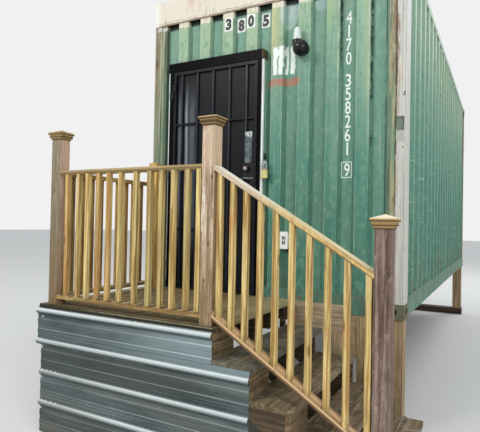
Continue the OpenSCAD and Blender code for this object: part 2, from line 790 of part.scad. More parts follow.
// landing railings
guard_z1 = deck_z + guard_h;
guard_z0 = guard_z1 - guard_t;
low_z0 = deck_z + low_rail_z;
low_z1 = low_z0 + guard_t;
front_x0 = post_a_x + newel;
front_x1 = post_b_x;
front_f = [0.0614, 0.1513, 0.2222, 0.3034, 0.3814, 0.4689, 0.5745, 0.6690, 0.7470, 0.8235, 0.9094, 0.98];
module front_railing() {
  l = front_x1 - front_x0;
  color("goldenrod") {
    span(front_x0, front_x1, post_y, post_y + newel, guard_z0, guard_z1);
    span(front_x0, front_x1, post_y, post_y + newel, low_z0, low_z1);
    for (f = front_f) {
      x = front_x0 + l * f;
      span(x - bal_w / 2, x + bal_w / 2, bal_y, bal_y + bal_w, low_z1, guard_z0);
    }
  }
}
module left_railing() {
  y0 = post_y + newel;
  y1 = -post_d_out;
  p = (y1 - y0) / (side_bal_n + 1);
  color("goldenrod") {
    span(post_a_x, post_a_x + newel, y0, y1, guard_z0, guard_z1);
    span(post_a_x, post_a_x + newel, y0, y1, low_z0, low_z1);
    for (i = [1:side_bal_n]) {
      y = y0 + i * p;
      span(post_a_x + 2, post_a_x + 2 + bal_w, y - bal_w / 2, y + bal_w / 2, low_z1, guard_z0);
    }
  }
}

// stair railing, raked: heights as a function of X
hand_x0 = post_b_x + newel;
hand_x1 = post_c_x;
hand_t = guard_t * sqrt(1 + rake * rake);
function hand_z(x) = deck_z + hand_h - rake * (x - hand_x0);
function low_hand_z(x) = deck_z + low_hand_h - rake * (x - hand_x0);
stair_f = [0.041, 0.134, 0.227, 0.325, 0.426, 0.530, 0.636, 0.746, 0.856, 0.974];
module raked(x0, x1, za, zb, y0, y1) {
  translate([0, y1, 0]) rotate([90, 0, 0]) linear_extrude(y1 - y0)
    polygon([[x0, za[0]], [x1, za[1]], [x1, zb[1]], [x0, zb[0]]]);
}
module stair_railing() {
  l = hand_x1 - hand_x0;
  h = bal_w / 2;
  xs = [for (f = stair_f) hand_x0 + l * f];
  fill = concat([hand_x0 - h], xs, [hand_x1 + h]);
  y0 = post_y;
  color("goldenrod") {
    raked(hand_x0, hand_x1, [hand_z(hand_x0) - hand_t, hand_z(hand_x1) - hand_t],
      [hand_z(hand_x0), hand_z(hand_x1)], y0, y0 + newel);
    raked(hand_x0, hand_x1, [low_hand_z(hand_x0) - hand_t, low_hand_z(hand_x1) - hand_t],
      [low_hand_z(hand_x0), low_hand_z(hand_x1)], y0, y0 + newel);
    for (x = xs)
      raked(x - h, x + h, [low_hand_z(x - h), low_hand_z(x + h)],
        [hand_z(x - h) - hand_t, hand_z(x + h) - hand_t], bal_y, bal_y + bal_w);
    for (i = [0:len(fill) - 2]) {
      a = fill[i] + h + fill_gap;
      b = fill[i + 1] - h - fill_gap;
      if (b - a > 12)
        raked(a, b, [low_hand_z(a), low_hand_z(b)],
          [low_hand_z(a) + fill_t, low_hand_z(b) + fill_t], bal_y, bal_y + bal_w);
    }
  }
}

// stair: tread i has its rear edge at step_x(i)
function step_x(i) = deck_x1 - riser_t + (i - 1) * going;
function tread_z(i) = deck_z - i * rise;
// cut stringer: teeth under the treads, a straight underside down to a foot of the given length
module stringer(x0, foot) {
  n = rise_n - 1;
  m = rise / going;
  xe = step_x(n + 1);
  top = (x0 < step_x(1)) ? [[x0, deck_under], [step_x(1), deck_under]] : [];
  teeth = flatten([for (i = [1:n]) [[step_x(i), tread_z(i) - tread_t], [step_x(i + 1), tread_z(i) - tread_t]]]);
  translate([0, timber_t, 0]) rotate([90, 0, 0]) linear_extrude(timber_t)
    polygon(concat(top, teeth, [[xe, 0], [xe - foot, 0], [x0, (xe - foot - x0) * m]]));
}
module stair_stringers() {
  reach = -rim_y - tread_back;
  color("sienna") {
    translate([0, rim_y, 0]) stringer(step_x(1), outer_foot);
    for (y = [rim_y + reach / 2, -tread_back - 2 * timber_t])
      translate([0, y, 0]) stringer(step_x(1) - timber_t, inner_foot);
  }
}
module stair_treads() {
  color("gray") difference() {
    for (i = [1:rise_n - 1]) {
      x0 = step_x(i);
      x1 = step_x(i + 1) + riser_t + nosing;
      xm = x0 + (x1 - x0) / 2;
      span(x0, xm - 2, rim_y, -tread_back, tread_z(i) - tread_t, tread_z(i));
      span(xm + 2, x1, rim_y, -tread_back, tread_z(i) - tread_t, tread_z(i));
    }
    all_post_room();
  }
}
module riser_blocks() {
  color("sienna") difference() {
    for (i = [1:rise_n]) {
      top = (i == 1) ? deck_under : tread_z(i - 1) - tread_t;
      span(step_x(i), step_x(i) + riser_t, rim_y, rim_y + riser_l, tread_z(i), top);
    }
    all_post_room();
  }
}

// ribbed sheet across the front of the landing, stepped down beside the stair
skirt_top = deck_z - skirt_drop;
rib_n = floor((skirt_top - skirt_gap - 40) / rib_pitch) + 1;
rib_zs = [for (i = [0:rib_n - 1]) skirt_top - 27 - i * rib_pitch];
function rib_pts(z, h, w, s) = [[0, z + w / 2 + s], [-h, z + w / 2], [-h, z - w / 2], [0, z - w / 2 - s]];
// the two low ribs under large rib i
function bead_pts(i, z0) = (rib_zs[i] - 2 * rib_pitch / 3 - 20 > z0) ? concat(
  rib_pts(rib_zs[i] - rib_pitch / 3, bead_h, bead_w, 6),
  rib_pts(rib_zs[i] - 2 * rib_pitch / 3, bead_h, bead_w, 6)) : [];
// outline of one sheet: ribs number a to b, ends at heights z1 and z0
module skirt_profile(a, b, z1, z0) {
  first = (a > 0) ? bead_pts(a - 1, z0) : [];
  line = concat(first, flatten([for (i = [a:b]) concat(rib_pts(rib_zs[i], rib_h, 24, 12), bead_pts(i, z0))]));
  back = concat([[0, z1]], line, [[0, z0]]);
  polygon(concat(back, [for (i = [len(back) - 1:-1:0]) back[i] - [skirt_t, 0]]));
}
module front_skirt() {
  x1 = step_x(2) + riser_t;
  lap = rib_zs[1] - 26;
  color("lightsteelblue") difference() {
    union() {
      translate([deck_x0, rim_y, 0]) rotate([90, 0, 90]) linear_extrude(x1 - deck_x0)
        skirt_profile(0, 1, skirt_top, lap + 1);
      translate([deck_x0 + skirt_lap, rim_y, 0]) rotate([90, 0, 90])
        linear_extrude(x1 - deck_x0 - skirt_lap) skirt_profile(2, rib_n - 1, lap, skirt_gap);
    }
    span(deck_x1, x1 + 1, rim_y - 60, rim_y + 10, tread_z(1) - skirt_drop - 4, deck_z);
  }
}

// boards and timbers that hold the container up
board_x0 = deck_x1 + notch_gap;
board_x1 = hw - board_in;
pier_x = board_x1 + 80;
brick_x = board_x1 - 110;
module base_board() {
  color("rosybrown") span(board_x0, board_x1, -timber_t, 0, base_z - board_down, base_z + board_up);
}
module brick_pier() {
  color("firebrick") span(brick_x, board_x1 + 10, -timber_t, -timber_t + sleeper_w,
    sleeper_h, base_z - brick_down);
}
module support_posts() {
  inner_z1 = base_z + casting_proud;
  cx = hw - casting_w + 8;
  color("sienna") {
    for (s = [0, 1]) mirror([s, 0, 0]) {
      span(cx, cx + pier_w, 16, 16 + pier_w, sleeper_h, base_z);
      span(cx, cx + pier_w, cabin_l - 16 - pier_w, cabin_l - 16, sleeper_h, base_z);
      span(pier_x, pier_x + pier_w, 5, 5 + pier_w, sleeper_h, inner_z1);
    }
    span(pier_x - plank_w, pier_x, 5, 5 + timber_t, base_z - brick_down - 13, inner_z1);
    span(brick_x, brick_x + newel, -timber_t, -timber_t + newel, base_z - brick_down, base_z - board_down);
  }
}
module ground_sleepers() {
  color("saddlebrown") {
    span(-hw, hw, -timber_t, -timber_t + sleeper_w, 0, sleeper_h);
    span(-hw, hw, cabin_l - sleeper_w, cabin_l, 0, sleeper_h);
  }
}

front_wall_left();
front_wall_over_door();
front_wall_right();
front_header();
header_plate();
front_sill();
corner_posts();
corner_castings();
left_side_wall();
right_side_wall();
side_top_rails();
side_bottom_rails();
roof_panel();
floor_boards();
floor_crossmembers();
rear_frame();
cargo_doors();
cargo_door_gasket();
cargo_door_gear();
door_head();
door_jambs();
white_battens();
fixed_hinge_barrels();
leaf_frame();
leaf_bars();
leaf_sheet();
leaf_hinge_barrels();
leaf_lockset();
padlock();
wall_light();
outlet_plate();
number_plates();
landing_posts();
post_stair();
post_rear();
post_caps();
deck_boards();
deck_frame();
deck_joists();
front_railing();
left_railing();
stair_railing();
stair_stringers();
stair_treads();
riser_blocks();
front_skirt();
base_board();
brick_pier();
support_posts();
ground_sleepers();
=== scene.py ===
import math

import bmesh
import bpy
from mathutils import Matrix, Vector


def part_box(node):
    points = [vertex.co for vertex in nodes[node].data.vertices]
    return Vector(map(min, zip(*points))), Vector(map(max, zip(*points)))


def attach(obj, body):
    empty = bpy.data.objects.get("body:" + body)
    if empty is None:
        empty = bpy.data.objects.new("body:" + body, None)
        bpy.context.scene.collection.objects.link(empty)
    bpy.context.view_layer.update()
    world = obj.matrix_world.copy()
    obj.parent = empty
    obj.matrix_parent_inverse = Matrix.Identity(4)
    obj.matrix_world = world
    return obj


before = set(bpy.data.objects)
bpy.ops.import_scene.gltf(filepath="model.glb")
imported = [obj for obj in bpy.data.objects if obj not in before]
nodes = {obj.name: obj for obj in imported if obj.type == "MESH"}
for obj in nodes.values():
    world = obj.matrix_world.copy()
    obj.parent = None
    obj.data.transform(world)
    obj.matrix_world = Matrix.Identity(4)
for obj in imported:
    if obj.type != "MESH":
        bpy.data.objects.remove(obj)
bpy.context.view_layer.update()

# places and sizes that the CAD gives, in metres
DECK_Z = 0.950
DECK_GAP = 0.006
DECK_BOARDS = 11
DECK_PITCH = 0.14045
STEP_RISE = 0.19
STEP_GOING = 0.257
FIRST_TREAD_X = 0.311
LOWER_RAIL_TOP = DECK_Z + 0.036 + 0.038
UPPER_RAIL_BOTTOM = DECK_Z + 1.0 - 0.028
BALUSTER_PITCH = 0.093
STAIR_RAIL_X = 0.308
STAIR_RAIL_RUN = 0.976
WALL_PITCH = 0.25
VALLEY_Y = 0.045
RIB_Z = 0.901
RIB_PITCH = 0.225
POST_CAP_Z = 2.188
STAIR_CAP_Z = 1.570
# the stairs' rise by their run, and the balusters' places as parts of the run
STAIR_SLOPE = 0.61
STAIR_BALUSTERS = (0.041, 0.134, 0.227, 0.325, 0.426, 0.530, 0.636, 0.746, 0.856, 0.974)

# colours, as red, green and blue of 0 to 255
RUST = (122, 84, 58)
RUST_DARK = (62, 46, 34)
DARK = (28, 34, 28)
CREAM = (226, 219, 198)
PINE_LIGHT = (220, 196, 132)
PINE_DARK = (160, 125, 68)
PINE_GREY = (178, 168, 116)
PINE_WARM = (186, 122, 62)
# PINE_TOP is painted light: the paler colour given to faces that look up
PINE_TOP = (226, 214, 172)


# shader helpers
def colour(v):
    """Red, green and blue of 0 to 255 as Blender takes them; a socket stays as it is."""
    if isinstance(v, bpy.types.NodeSocket):
        return v
    parts = [part / 255 for part in v]
    return tuple(p / 12.92 if p <= 0.04045 else ((p + 0.055) / 1.055) ** 2.4 for p in parts) + (1,)


def spread(s):
    """Frequencies along X, Y and Z: from one number, from across and up, or from all three."""
    if isinstance(s, (int, float)):
        return (s, s, s)
    return (s[0], s[0], s[1]) if len(s) == 2 else s


class Value:
    """A number that varies over the surface; arithmetic on it makes Math nodes."""

    def __init__(self, k, socket):
        self.k = k
        self.socket = socket

    def __add__(self, other):
        return self.k.op("ADD", self, other)

    def __radd__(self, other):
        return self.k.op("ADD", other, self)

    def __sub__(self, other):
        return self.k.op("SUBTRACT", self, other)

    def __rsub__(self, other):
        return self.k.op("SUBTRACT", other, self)

    def __mul__(self, other):
        return self.k.op("MULTIPLY", self, other)

    def __abs__(self):
        return self.k.op("ABSOLUTE", self)

    def step(self, lo, hi, out=(0.0, 1.0), smooth=True):
        """From out[0] to out[1] as the value goes from lo to hi, either of them the lower one."""
        if lo > hi:
            lo, hi, out = hi, lo, (out[1], out[0])
        n = self.k.node("MapRange", Value=self, From_Min=lo, From_Max=hi, To_Min=out[0], To_Max=out[1])
        n.interpolation_type = "SMOOTHSTEP" if smooth else "LINEAR"
        return Value(self.k, n.outputs["Result"])

    def band(self, a, b, soft=0.004):
        """1 where the value is between a and b."""
        return self.step(a - soft, a + soft) * self.step(b + soft, b - soft)

    def gloss(self, smooth, rough):
        """Roughness between two values that follows this noise."""
        return self.step(0.2, 0.8, (smooth, rough), smooth=False)


class Mat:
    """A material made from object coordinates in metres; c is its colour so far."""

    def __init__(self, name):
        self.m = bpy.data.materials.new(name)
        self.m.use_nodes = True
        self.t = self.m.node_tree
        self.t.nodes.clear()
        place = self.node("TexCoord")
        self.P = place.outputs["Object"]
        self.X, self.Y, self.Z = self.split(self.P)
        self.NX, self.NY, self.NZ = self.split(place.outputs["Normal"])
        self.c = None

    def node(self, kind, **values):
        """A shader node with these socket values; _ stands for a space in a socket's name."""
        n = self.t.nodes.new("ShaderNode" + kind)
        for name, v in values.items():
            self.put(n.inputs[name.replace("_", " ")], v)
        return n

    def put(self, socket, v):
        v = v.socket if isinstance(v, Value) else v
        if isinstance(v, bpy.types.NodeSocket):
            self.t.links.new(v, socket)
        else:
            socket.default_value = v

    def split(self, v):
        return [Value(self, part) for part in self.node("SeparateXYZ", Vector=v).outputs]

    def op(self, kind, a, b=0.0):
        n = self.node("Math")
        n.operation = kind
        self.put(n.inputs[0], a)
        self.put(n.inputs[1], b)
        return Value(self, n.outputs[0])

    def mx(self, first, *others):
        for v in others:
            first = self.op("MAXIMUM", first, v)
        return first

    def up(self, lo, hi, out=(0.0, 1.0)):
        """Mask by height."""
        return self.Z.step(lo, hi, out)

    def vec(self, *parts):
        n = self.node("CombineXYZ")
        for socket, v in zip(n.inputs, parts):
            self.put(socket, v)
        return n.outputs[0]

    def vector(self, kind, a, b):
        n = self.node("VectorMath")
        n.operation = kind
        self.put(n.inputs[0], a)
        n.inputs[1].default_value = b
        return n.outputs[0]

    def noise(self, s, detail=3.0, rough=0.55, seed=0.0, p=None, dist=0.0):
        """Cloudy noise with frequencies s; another seed gives another part of it."""
        v = self.vector("MULTIPLY", self.P if p is None else p, spread(s))
        if seed:
            v = self.vector("ADD", v, (seed, seed * 1.7, seed * 0.6))
        n = self.node("TexNoise", Vector=v, Scale=1.0, Detail=detail, Roughness=rough, Distortion=dist)
        return Value(self, n.outputs["Fac"])

    def cloud(self, s, lo, hi, seed=0.0, rough=0.7, detail=4):
        """Mask of noise with frequencies s, rising between lo and hi."""
        return self.noise(s, detail, rough, seed).step(lo, hi)

    def wobble(self, s, width, detail=3.0, rough=0.55, seed=0.0, middle=0.5):
        """Noise that swings about 0, width from end to end."""
        return (self.noise(s, detail, rough, seed) - middle) * width

    def voronoi(self, s, feature="F1"):
        n = self.node("TexVoronoi", Vector=self.vector("MULTIPLY", self.P, spread(s)), Scale=1.0)
        n.feature = feature
        return Value(self, n.outputs["Distance"])

    def cell(self, a, size, start=0.0):
        """A random number for each cell of the given size along a."""
        n = self.node("TexWhiteNoise")
        n.noise_dimensions = "1D"
        self.put(n.inputs["W"], self.op("FLOOR", a * (1.0 / size) + start))
        return Value(self, n.outputs["Value"])

    def spot(self, x, z, rx, rz):
        """Soft oval patch on a face that looks along Y."""
        a = (self.X - x) * (1 / rx)
        b = (self.Z - z) * (1 / rz)
        return (a * a + b * b).step(1.3, 0.7)

    def to_front(self):
        """1 on faces that look toward -Y."""
        return self.NY.step(-0.5, -0.8)

    def ramp(self, f, *stops):
        n = self.node("ValToRGB", Fac=f)
        marks = n.color_ramp.elements
        while len(marks) < len(stops):
            marks.new(0.5)
        for mark, (place, tint) in zip(marks, stops):
            mark.position = place
            mark.color = colour(tint)
        return n.outputs[0]

    def mix(self, f, a, b, kind="MIX"):
        n = self.node("Mix")
        n.data_type = "RGBA"
        n.blend_type = kind
        n.clamp_factor = True
        self.put(n.inputs["Factor"], f)
        self.put(n.inputs["A"], colour(a))
        self.put(n.inputs["B"], colour(b))
        return n.outputs["Result"]

    def tone(self, tint, f, lo=0.8, hi=1.2):
        """The colour times lo where f is 0 and times hi where it is 1."""
        g = f.step(0.0, 1.0, (lo, hi), smooth=False)
        return self.mix(1.0, tint, self.vec(g, g, g), "MULTIPLY")

    def shade(self, f, lo, hi):
        self.c = self.tone(self.c, f, lo, hi)

    def lay(self, tint, *factors):
        """Lays a colour over the material, as strongly as the product of the factors."""
        strength = factors[0]
        for f in factors[1:]:
            strength = strength * f
        self.c = self.mix(strength, self.c, tint)

    def done(self, rough, bump=None, strength=0.3, dist=0.002, metal=0.0, spec=0.5):
        """The finished material; bump is a height for its relief."""
        shader = self.node("BsdfPrincipled", Base_Color=self.c, Roughness=rough, Metallic=metal,
                           Specular_IOR_Level=spec)
        if bump is not None:
            n = self.node("Bump", Strength=strength, Distance=dist, Height=bump)
            self.put(shader.inputs["Normal"], n.outputs[0])
        self.node("OutputMaterial", Surface=shader.outputs[0])
        return self.m


# green paint
def green(kind):
    """Green paint with pale crests and darker valleys, runs, blotches, grime and rust."""
    k = Mat("green_" + kind)
    if kind == "front":
        crest = k.Y.step(0.04, 0.003)
    elif kind == "side":
        crest = abs(k.X).step(1.183, 1.211)
    elif kind == "roof":
        crest = k.up(3.742, 3.755)
    else:
        crest = k.noise(3, 2)
    height = k.Z.step(1.2, 3.6, smooth=False) + k.wobble((2.0, 0.8), 0.36, 3, 0.6, 51)
    broad = k.noise((2.2, 0.35), 3, 0.6)
    streak = k.noise((34, 0.5), 4, 0.6, 3)
    k.c = k.ramp(height, (0.05, (88, 130, 110)), (0.33, (96, 140, 120)), (0.6, (110, 152, 132)),
                 (0.88, (128, 166, 145)))
    k.lay((104, 156, 136), broad.step(0.42, 0.62), 0.5)
    valley = k.c
    k.c = k.ramp(height, (0.05, (70, 124, 106)), (0.33, (78, 138, 120)), (0.6, (114, 158, 138)),
                 (0.9, (150, 184, 156)))
    k.lay((168, 196, 160), k.X.step(0.3, -0.2), k.up(2.9, 3.25), 0.6)
    k.lay((178, 192, 150), k.up(2.9, 3.4), broad.step(0.42, 0.62), 0.45)
    k.c = k.mix(crest, valley, k.c)
    k.shade(streak, 0.72, 1.2)
    k.shade(k.noise((120, 5), 3, 0.6, 7), 0.8, 1.18)
    # worn chalky patches, grime, and thin dark and pale runs down the sheet
    k.lay((160, 184, 164), k.cloud((9, 0.8), 0.55, 0.72, 11, 0.65), k.up(1.6, 3.2, (0.18, 0.42)))
    k.lay((128, 140, 124), k.cloud((5, 1.6), 0.56, 0.7, 61, 0.6), 0.35)
    k.lay((70, 104, 88), k.cloud((110, 0.9), 0.58, 0.7, 71, 0.65), 0.42)
    k.lay((196, 208, 184), k.cloud((80, 0.8), 0.6, 0.72, 83, 0.65), 0.38)
    # rust specks and runs, thicker near the top and the bottom
    edge = k.mx(k.up(3.15, 3.7), k.up(1.3, 1.05))
    speck = (k.noise((60, 24), 5, 0.7, 19) + edge * 0.05).step(0.69, 0.73)
    k.lay(RUST, speck, 0.8)
    k.lay(RUST, k.cloud((46, 0.9), 0.66, 0.75, 31, 0.6), 0.25 + edge * 0.55)
    # blotches of other greens, brown stains and pale specks
    k.lay((134, 170, 148), k.cloud((22, 12), 0.5, 0.62, 87), 0.38)
    k.lay((72, 134, 114), k.cloud((26, 17), 0.52, 0.62, 89), 0.42)
    k.lay((138, 134, 98), k.cloud((36, 16), 0.6, 0.68, 93), 0.36)
    k.lay((196, 212, 196), k.cloud((90, 60), 0.64, 0.7, 95), 0.45)
    if kind == "front":
        ridge_edges(k)
        paint_over(k)
        yellow_ridges(k, crest, streak, broad)
        under_header(k, crest)
        rust_lines(k)
        small_marks(k)
        brush_marks(k)
    else:
        side_wear(k)
    bump = speck * 0.6 + k.noise((5, 2), 3, seed=41) * 1.2
    return k.done(streak.gloss(0.48, 0.68), bump, 0.25, 0.003, spec=0.35)


def side_wear(k):
    """Long scuffs, brown runs, rust patches with a pale rim, and a dirty lower edge."""
    k.lay((186, 196, 176), k.cloud((1.2, 30), 0.62, 0.68, 101), k.cloud((14, 60), 0.42, 0.54, 103), 0.55)
    k.lay((112, 108, 82), k.cloud((5, 0.7), 0.6, 0.72, 107), 0.38)
    patch = k.noise((7, 6), 5, 0.75, 105)
    k.lay((150, 128, 92), patch.step(0.645, 0.665), 0.65)
    k.lay(RUST, patch.step(0.665, 0.685), 0.85)
    k.lay((92, 92, 72), k.up(1.35, 1.05), k.cloud((12, 4), 0.4, 0.6, 109), 0.5)


def ridge_edges(k):
    """Pale lines along the ridges' edges, and dirt and painted shade in the corners of the valleys."""
    across = abs(k.op("FRACT", k.X * (1 / WALL_PITCH)) - 0.5)
    k.lay((186, 204, 176), across.band(0.195, 0.218, 0.006), k.cloud((14, 1.2), 0.42, 0.6, 91), 0.45)
    # dirt and painted shade in the corners of the valleys
    k.lay((62, 92, 76), across.band(0.285, 0.325, 0.012), k.cloud((10, 1.6), 0.38, 0.62, 97), 0.42)


def paint_over(k):
    """Grey-blue paint under the header, with round lower ends and a pale rim."""
    z = k.Z + k.wobble((7, 4), 0.1, 2, seed=33)

    def above(middle, lowest, narrow):
        """How far z is above an arc whose lowest point is at middle."""
        rise = k.op("POWER", abs(k.X - middle) * narrow, 3.0)
        return z - (lowest + rise * 0.1)

    left = above(0.215, 3.325, 10.0)
    right = above(0.52, 3.385, 11.0)
    patches = k.mx(k.X.band(0.15, 0.335, 0.012) * left.step(-0.03, 0.03),
                   k.X.band(0.455, 0.6, 0.012) * right.step(-0.02, 0.03))
    k.lay(k.mix(k.cloud((16, 5), 0.4, 0.6, 47, 0.55, 3), (154, 178, 176), (180, 200, 196)), patches, 0.8)
    rim = k.mx(k.X.band(0.15, 0.19, 0.01) * k.up(3.3, 3.36),
               k.X.band(0.165, 0.33, 0.01) * left.band(-0.03, 0.0, 0.012))
    k.lay((188, 206, 188), rim, 0.45)


def yellow_ridges(k, crest, streak, broad):
    """Yellow, light green and tan runs on four ridges."""
    k.lay((184, 188, 132), k.X.band(0.068, 0.145, 0.02), k.up(2.95, 3.2),
          streak.step(0.3, 0.6, (0.35, 0.75)))
    k.lay((206, 196, 148), k.X.band(0.066, 0.094, 0.01), k.up(3.0, 3.25), 0.6)
    k.lay((160, 188, 124), crest, k.X.band(0.575, 0.615, 0.02), k.up(3.1, 3.4), 0.7)
    k.lay((170, 180, 152), crest, k.X.band(0.61, 0.672, 0.02), k.up(2.7, 3.1), broad.step(0.36, 0.52), 0.45)
    k.lay((172, 182, 146), crest, k.X.band(0.885, 0.93, 0.015), k.up(2.3, 2.9), 0.55)


def under_header(k, crest):
    """Cream overspray on the ridges below the header and shade in the valleys."""
    spray_z = k.Z + k.noise((30, 8), 3) * 0.05
    k.lay(CREAM, crest, spray_z.step(3.485, 3.508), k.cloud((40, 12), 0.3, 0.5, 37))
    k.lay((196, 190, 160), crest, k.up(3.43, 3.5), k.cloud((60, 3), 0.48, 0.6, 39), 0.6)
    shade_z = k.Z + k.noise((20, 6), 3, seed=43) * 0.03
    k.lay((30, 32, 26), k.Y.step(0.01, 0.035), shade_z.step(3.488, 3.512), 0.9)


def rust_lines(k):
    """Broken black rust lines down the right sides of two ridges, each with a pale line."""
    gaps = k.noise(6, 4, 0.7, 5)
    width = k.wobble((9, 16), 0.026, 4, 0.75, 6)
    x = k.X + k.wobble((12, 5), 0.006, 3, seed=8)
    lines = []
    pales = []
    for line_x, line_z, pale_z, fade_z, fade, gap in (
            (0.69, (2.72, 2.8), (2.5, 2.9), (2.8, 3.25), (-0.1, 0.12), (0.4, 0.5)),
            (0.94, (1.9, 2.3), (2.0, 2.4), (2.2, 3.1), (-0.06, 0.06), (0.45, 0.53))):
        near = (abs(x - line_x) - width).step(0.0066, 0.003)
        whole = (gaps + k.up(*fade_z, fade)).step(*gap)
        lines.append(near * k.up(*line_z) * whole)
        pales.append(k.X.band(line_x - 0.026, line_x - 0.01) * k.up(*pale_z))
    k.lay((192, 206, 178), k.mx(*pales), k.cloud((20, 9), 0.36, 0.6, 14), 0.5)
    k.lay(DARK, k.mx(*lines), 0.92)


def small_marks(k):
    """A painted shadow beside the padlock, a dark line by the post, a painted highlight on the edge over
    the door, and painted shade on the slopes that face +X.
    """
    # painted shadow of the padlock on the wall
    k.lay((34, 62, 44), k.spot(0.056, 1.99, 0.022, 0.035), 0.75)
    k.lay((40, 66, 50), k.X.band(1.046, 1.056, 0.002), k.cloud((6, 1.5), 0.36, 0.5, 15), 0.75)
    # painted highlight along the wall's edge over the door head
    k.lay((196, 216, 192), k.X.band(-1.06, -0.01, 0.01), k.Z.band(3.117, 3.131, 0.003), 0.6)
    # painted shade on the slopes that face +X
    k.lay((60, 100, 82), k.NX.step(0.3, 0.7), 0.12)


def brush_marks(k):
    """White brush marks, a faded red stripe, and drips and a dark strip under the outlet."""
    wave = k.wobble((9, 14), 0.035, 3, seed=2)
    x = k.X + wave
    z = k.Z + wave
    upright = ((0.09, 0.13, 0.004), (0.143, 0.184, 0.004), (0.194, 0.216, 0.003), (0.236, 0.278, 0.004))
    strokes = k.mx(*[x.band(*mark) for mark in upright])
    strokes = strokes * (k.Z + wave * 1.2).band(2.885, 3.125, 0.012)
    for z0, z1, x0, x1 in ((3.04, 3.1, 0.1, 0.21), (3.075, 3.118, 0.238, 0.3)):
        strokes = k.mx(strokes, z.band(z0, z1, 0.006) * x.band(x0, x1, 0.006))
    k.lay((238, 246, 240), strokes, k.cloud((70, 20), 0.24, 0.36, 23))
    stripe_z = k.Z + wave * 0.6
    k.lay((190, 108, 86), stripe_z.band(2.782, 2.845, 0.008), k.X.band(0.03, 0.33, 0.03),
          k.cloud((16, 30), 0.28, 0.56, 29), 0.8)
    k.lay((38, 86, 68), k.X.band(0.208, 0.292), k.up(1.385, 1.365), 0.55)
    strip_x = k.X + wave * 0.5
    k.lay(DARK, strip_x.band(0.215, 0.285, 0.006), k.Z.band(1.345, 1.375, 0.006))


def green_post():
    """Corner posts: streaked olive and rust, cream over the right one's outer part and the tops, and
    painted shade along their inner parts.
    """
    k = Mat("green_post")
    front = k.Y.step(0.2, 0.1)
    right = k.X.step(-0.1, 0.1)
    streak = k.noise((34, 2.4), 4, 0.65, 9)
    up = k.up(2.5, 3.3)
    k.c = k.mix(k.cloud((16, 1.3), 0.4, 0.6, 4, 0.6), (104, 138, 114), (146, 160, 132))
    k.lay((174, 166, 128), streak.step(0.48, 0.58), k.mx(right * 0.75, 0.25))
    k.lay((132, 108, 80), streak.step(0.52, 0.44), up, 0.9)
    k.lay((200, 190, 164), k.cloud((30, 4.0), 0.5, 0.6, 61, 0.65), up, 0.8)
    k.lay((140, 78, 54), k.cloud((26, 5.0), 0.6, 0.68, 66, 0.65), 0.6)
    k.lay((150, 120, 88), k.up(1.7, 1.0), streak.step(0.46, 0.56), 0.5)
    # left post: brown strip, rust spot, painted shade over the inner part, pale and black lines, pale outer
    # edge
    k.lay((132, 116, 88), k.X.band(-1.205, -1.162), k.up(2.3, 3.1, (0.25, 0.75)), 0.8)
    k.lay((112, 66, 54), k.spot(-1.188, 3.155, 0.019, 0.055), 0.7)
    k.lay((60, 92, 72), k.X.band(-1.112, -1.05, 0.01), 0.55)
    k.lay((184, 190, 154), k.X.band(-1.15, -1.12, 0.006), k.up(2.2, 3.0), 0.6)
    k.lay(RUST_DARK, k.X.band(-1.16, -1.154, 0.002), k.up(3.05, 3.2), 0.9)
    k.lay((190, 202, 180), k.X.band(-1.219, -1.209, 0.003), front, k.cloud((30, 1.4), 0.36, 0.56, 65), 0.8)
    # painted shade on both posts' inner edges, and the right post's black edge line and scorched upper part
    k.lay((58, 78, 62), abs(k.X).band(1.06, 1.098, 0.008), front, k.cloud((12, 1.8), 0.34, 0.58, 67), 0.5)
    k.lay((40, 44, 32), k.X.band(1.066, 1.074, 0.002), k.cloud((6, 1.5), 0.34, 0.48, 36), 0.85)
    k.lay((112, 84, 62), k.X.step(1.095, 1.12), k.up(2.5, 3.1), k.cloud((30, 5), 0.4, 0.52, 63), 0.8)
    k.lay(RUST_DARK, k.cloud((80, 1.4), 0.56, 0.64, 15), 0.55)
    k.shade(k.noise((50, 0.7), 4, 0.65), 0.62, 1.3)
    k.shade(1 - right, 1.0, 0.93)
    # cream with a ragged inner edge, worn off in two places of the right post
    hole = k.Z.band(2.318, 2.425, 0.01) * k.X.band(1.142, 1.196, 0.006)
    thin = k.Z.band(2.23, 2.318, 0.02) * k.X.band(1.142, 1.2, 0.01) * 0.45
    ragged_x = k.X + k.wobble((10, 8), 0.03, 4, 0.7, 28)
    outer = ragged_x.step(1.134, 1.14) * front * (1 - k.mx(hole * 0.95, thin))
    top_z = k.Z + (1 - right) * 0.04 + k.noise((20, 6), 2) * 0.03
    green_part = k.c
    k.c = k.tone((203, 203, 197), k.noise((50, 1.0), 4, 0.6, 21), 0.88, 1.1)
    post_cream_wear(k)
    k.c = k.mix(k.mx(outer, top_z.step(3.53, 3.545) * front), green_part, k.c)
    # grey hole with a black rim, and the dark seam along the cream's inner edge
    k.lay((98, 116, 106), hole, 0.85)
    rim = k.mx(k.up(2.408, 2.42), k.X.step(1.184, 1.19))
    k.lay((34, 38, 34), hole * rim, k.cloud((60, 40), 0.38, 0.5, 34), 0.85)
    seam_width = k.wobble((8, 9), 0.026, 4, 0.75, 29, middle=0.45)
    from_seam = abs(abs(k.X) - 1.135) - seam_width
    k.lay(RUST_DARK, from_seam.step(0.0055, 0.0025), front, right, k.up(1.0, 3.0, (0.45, 0.9)))
    return k.done(0.6, k.noise((60, 8), 4), 0.3, 0.002, spec=0.35)


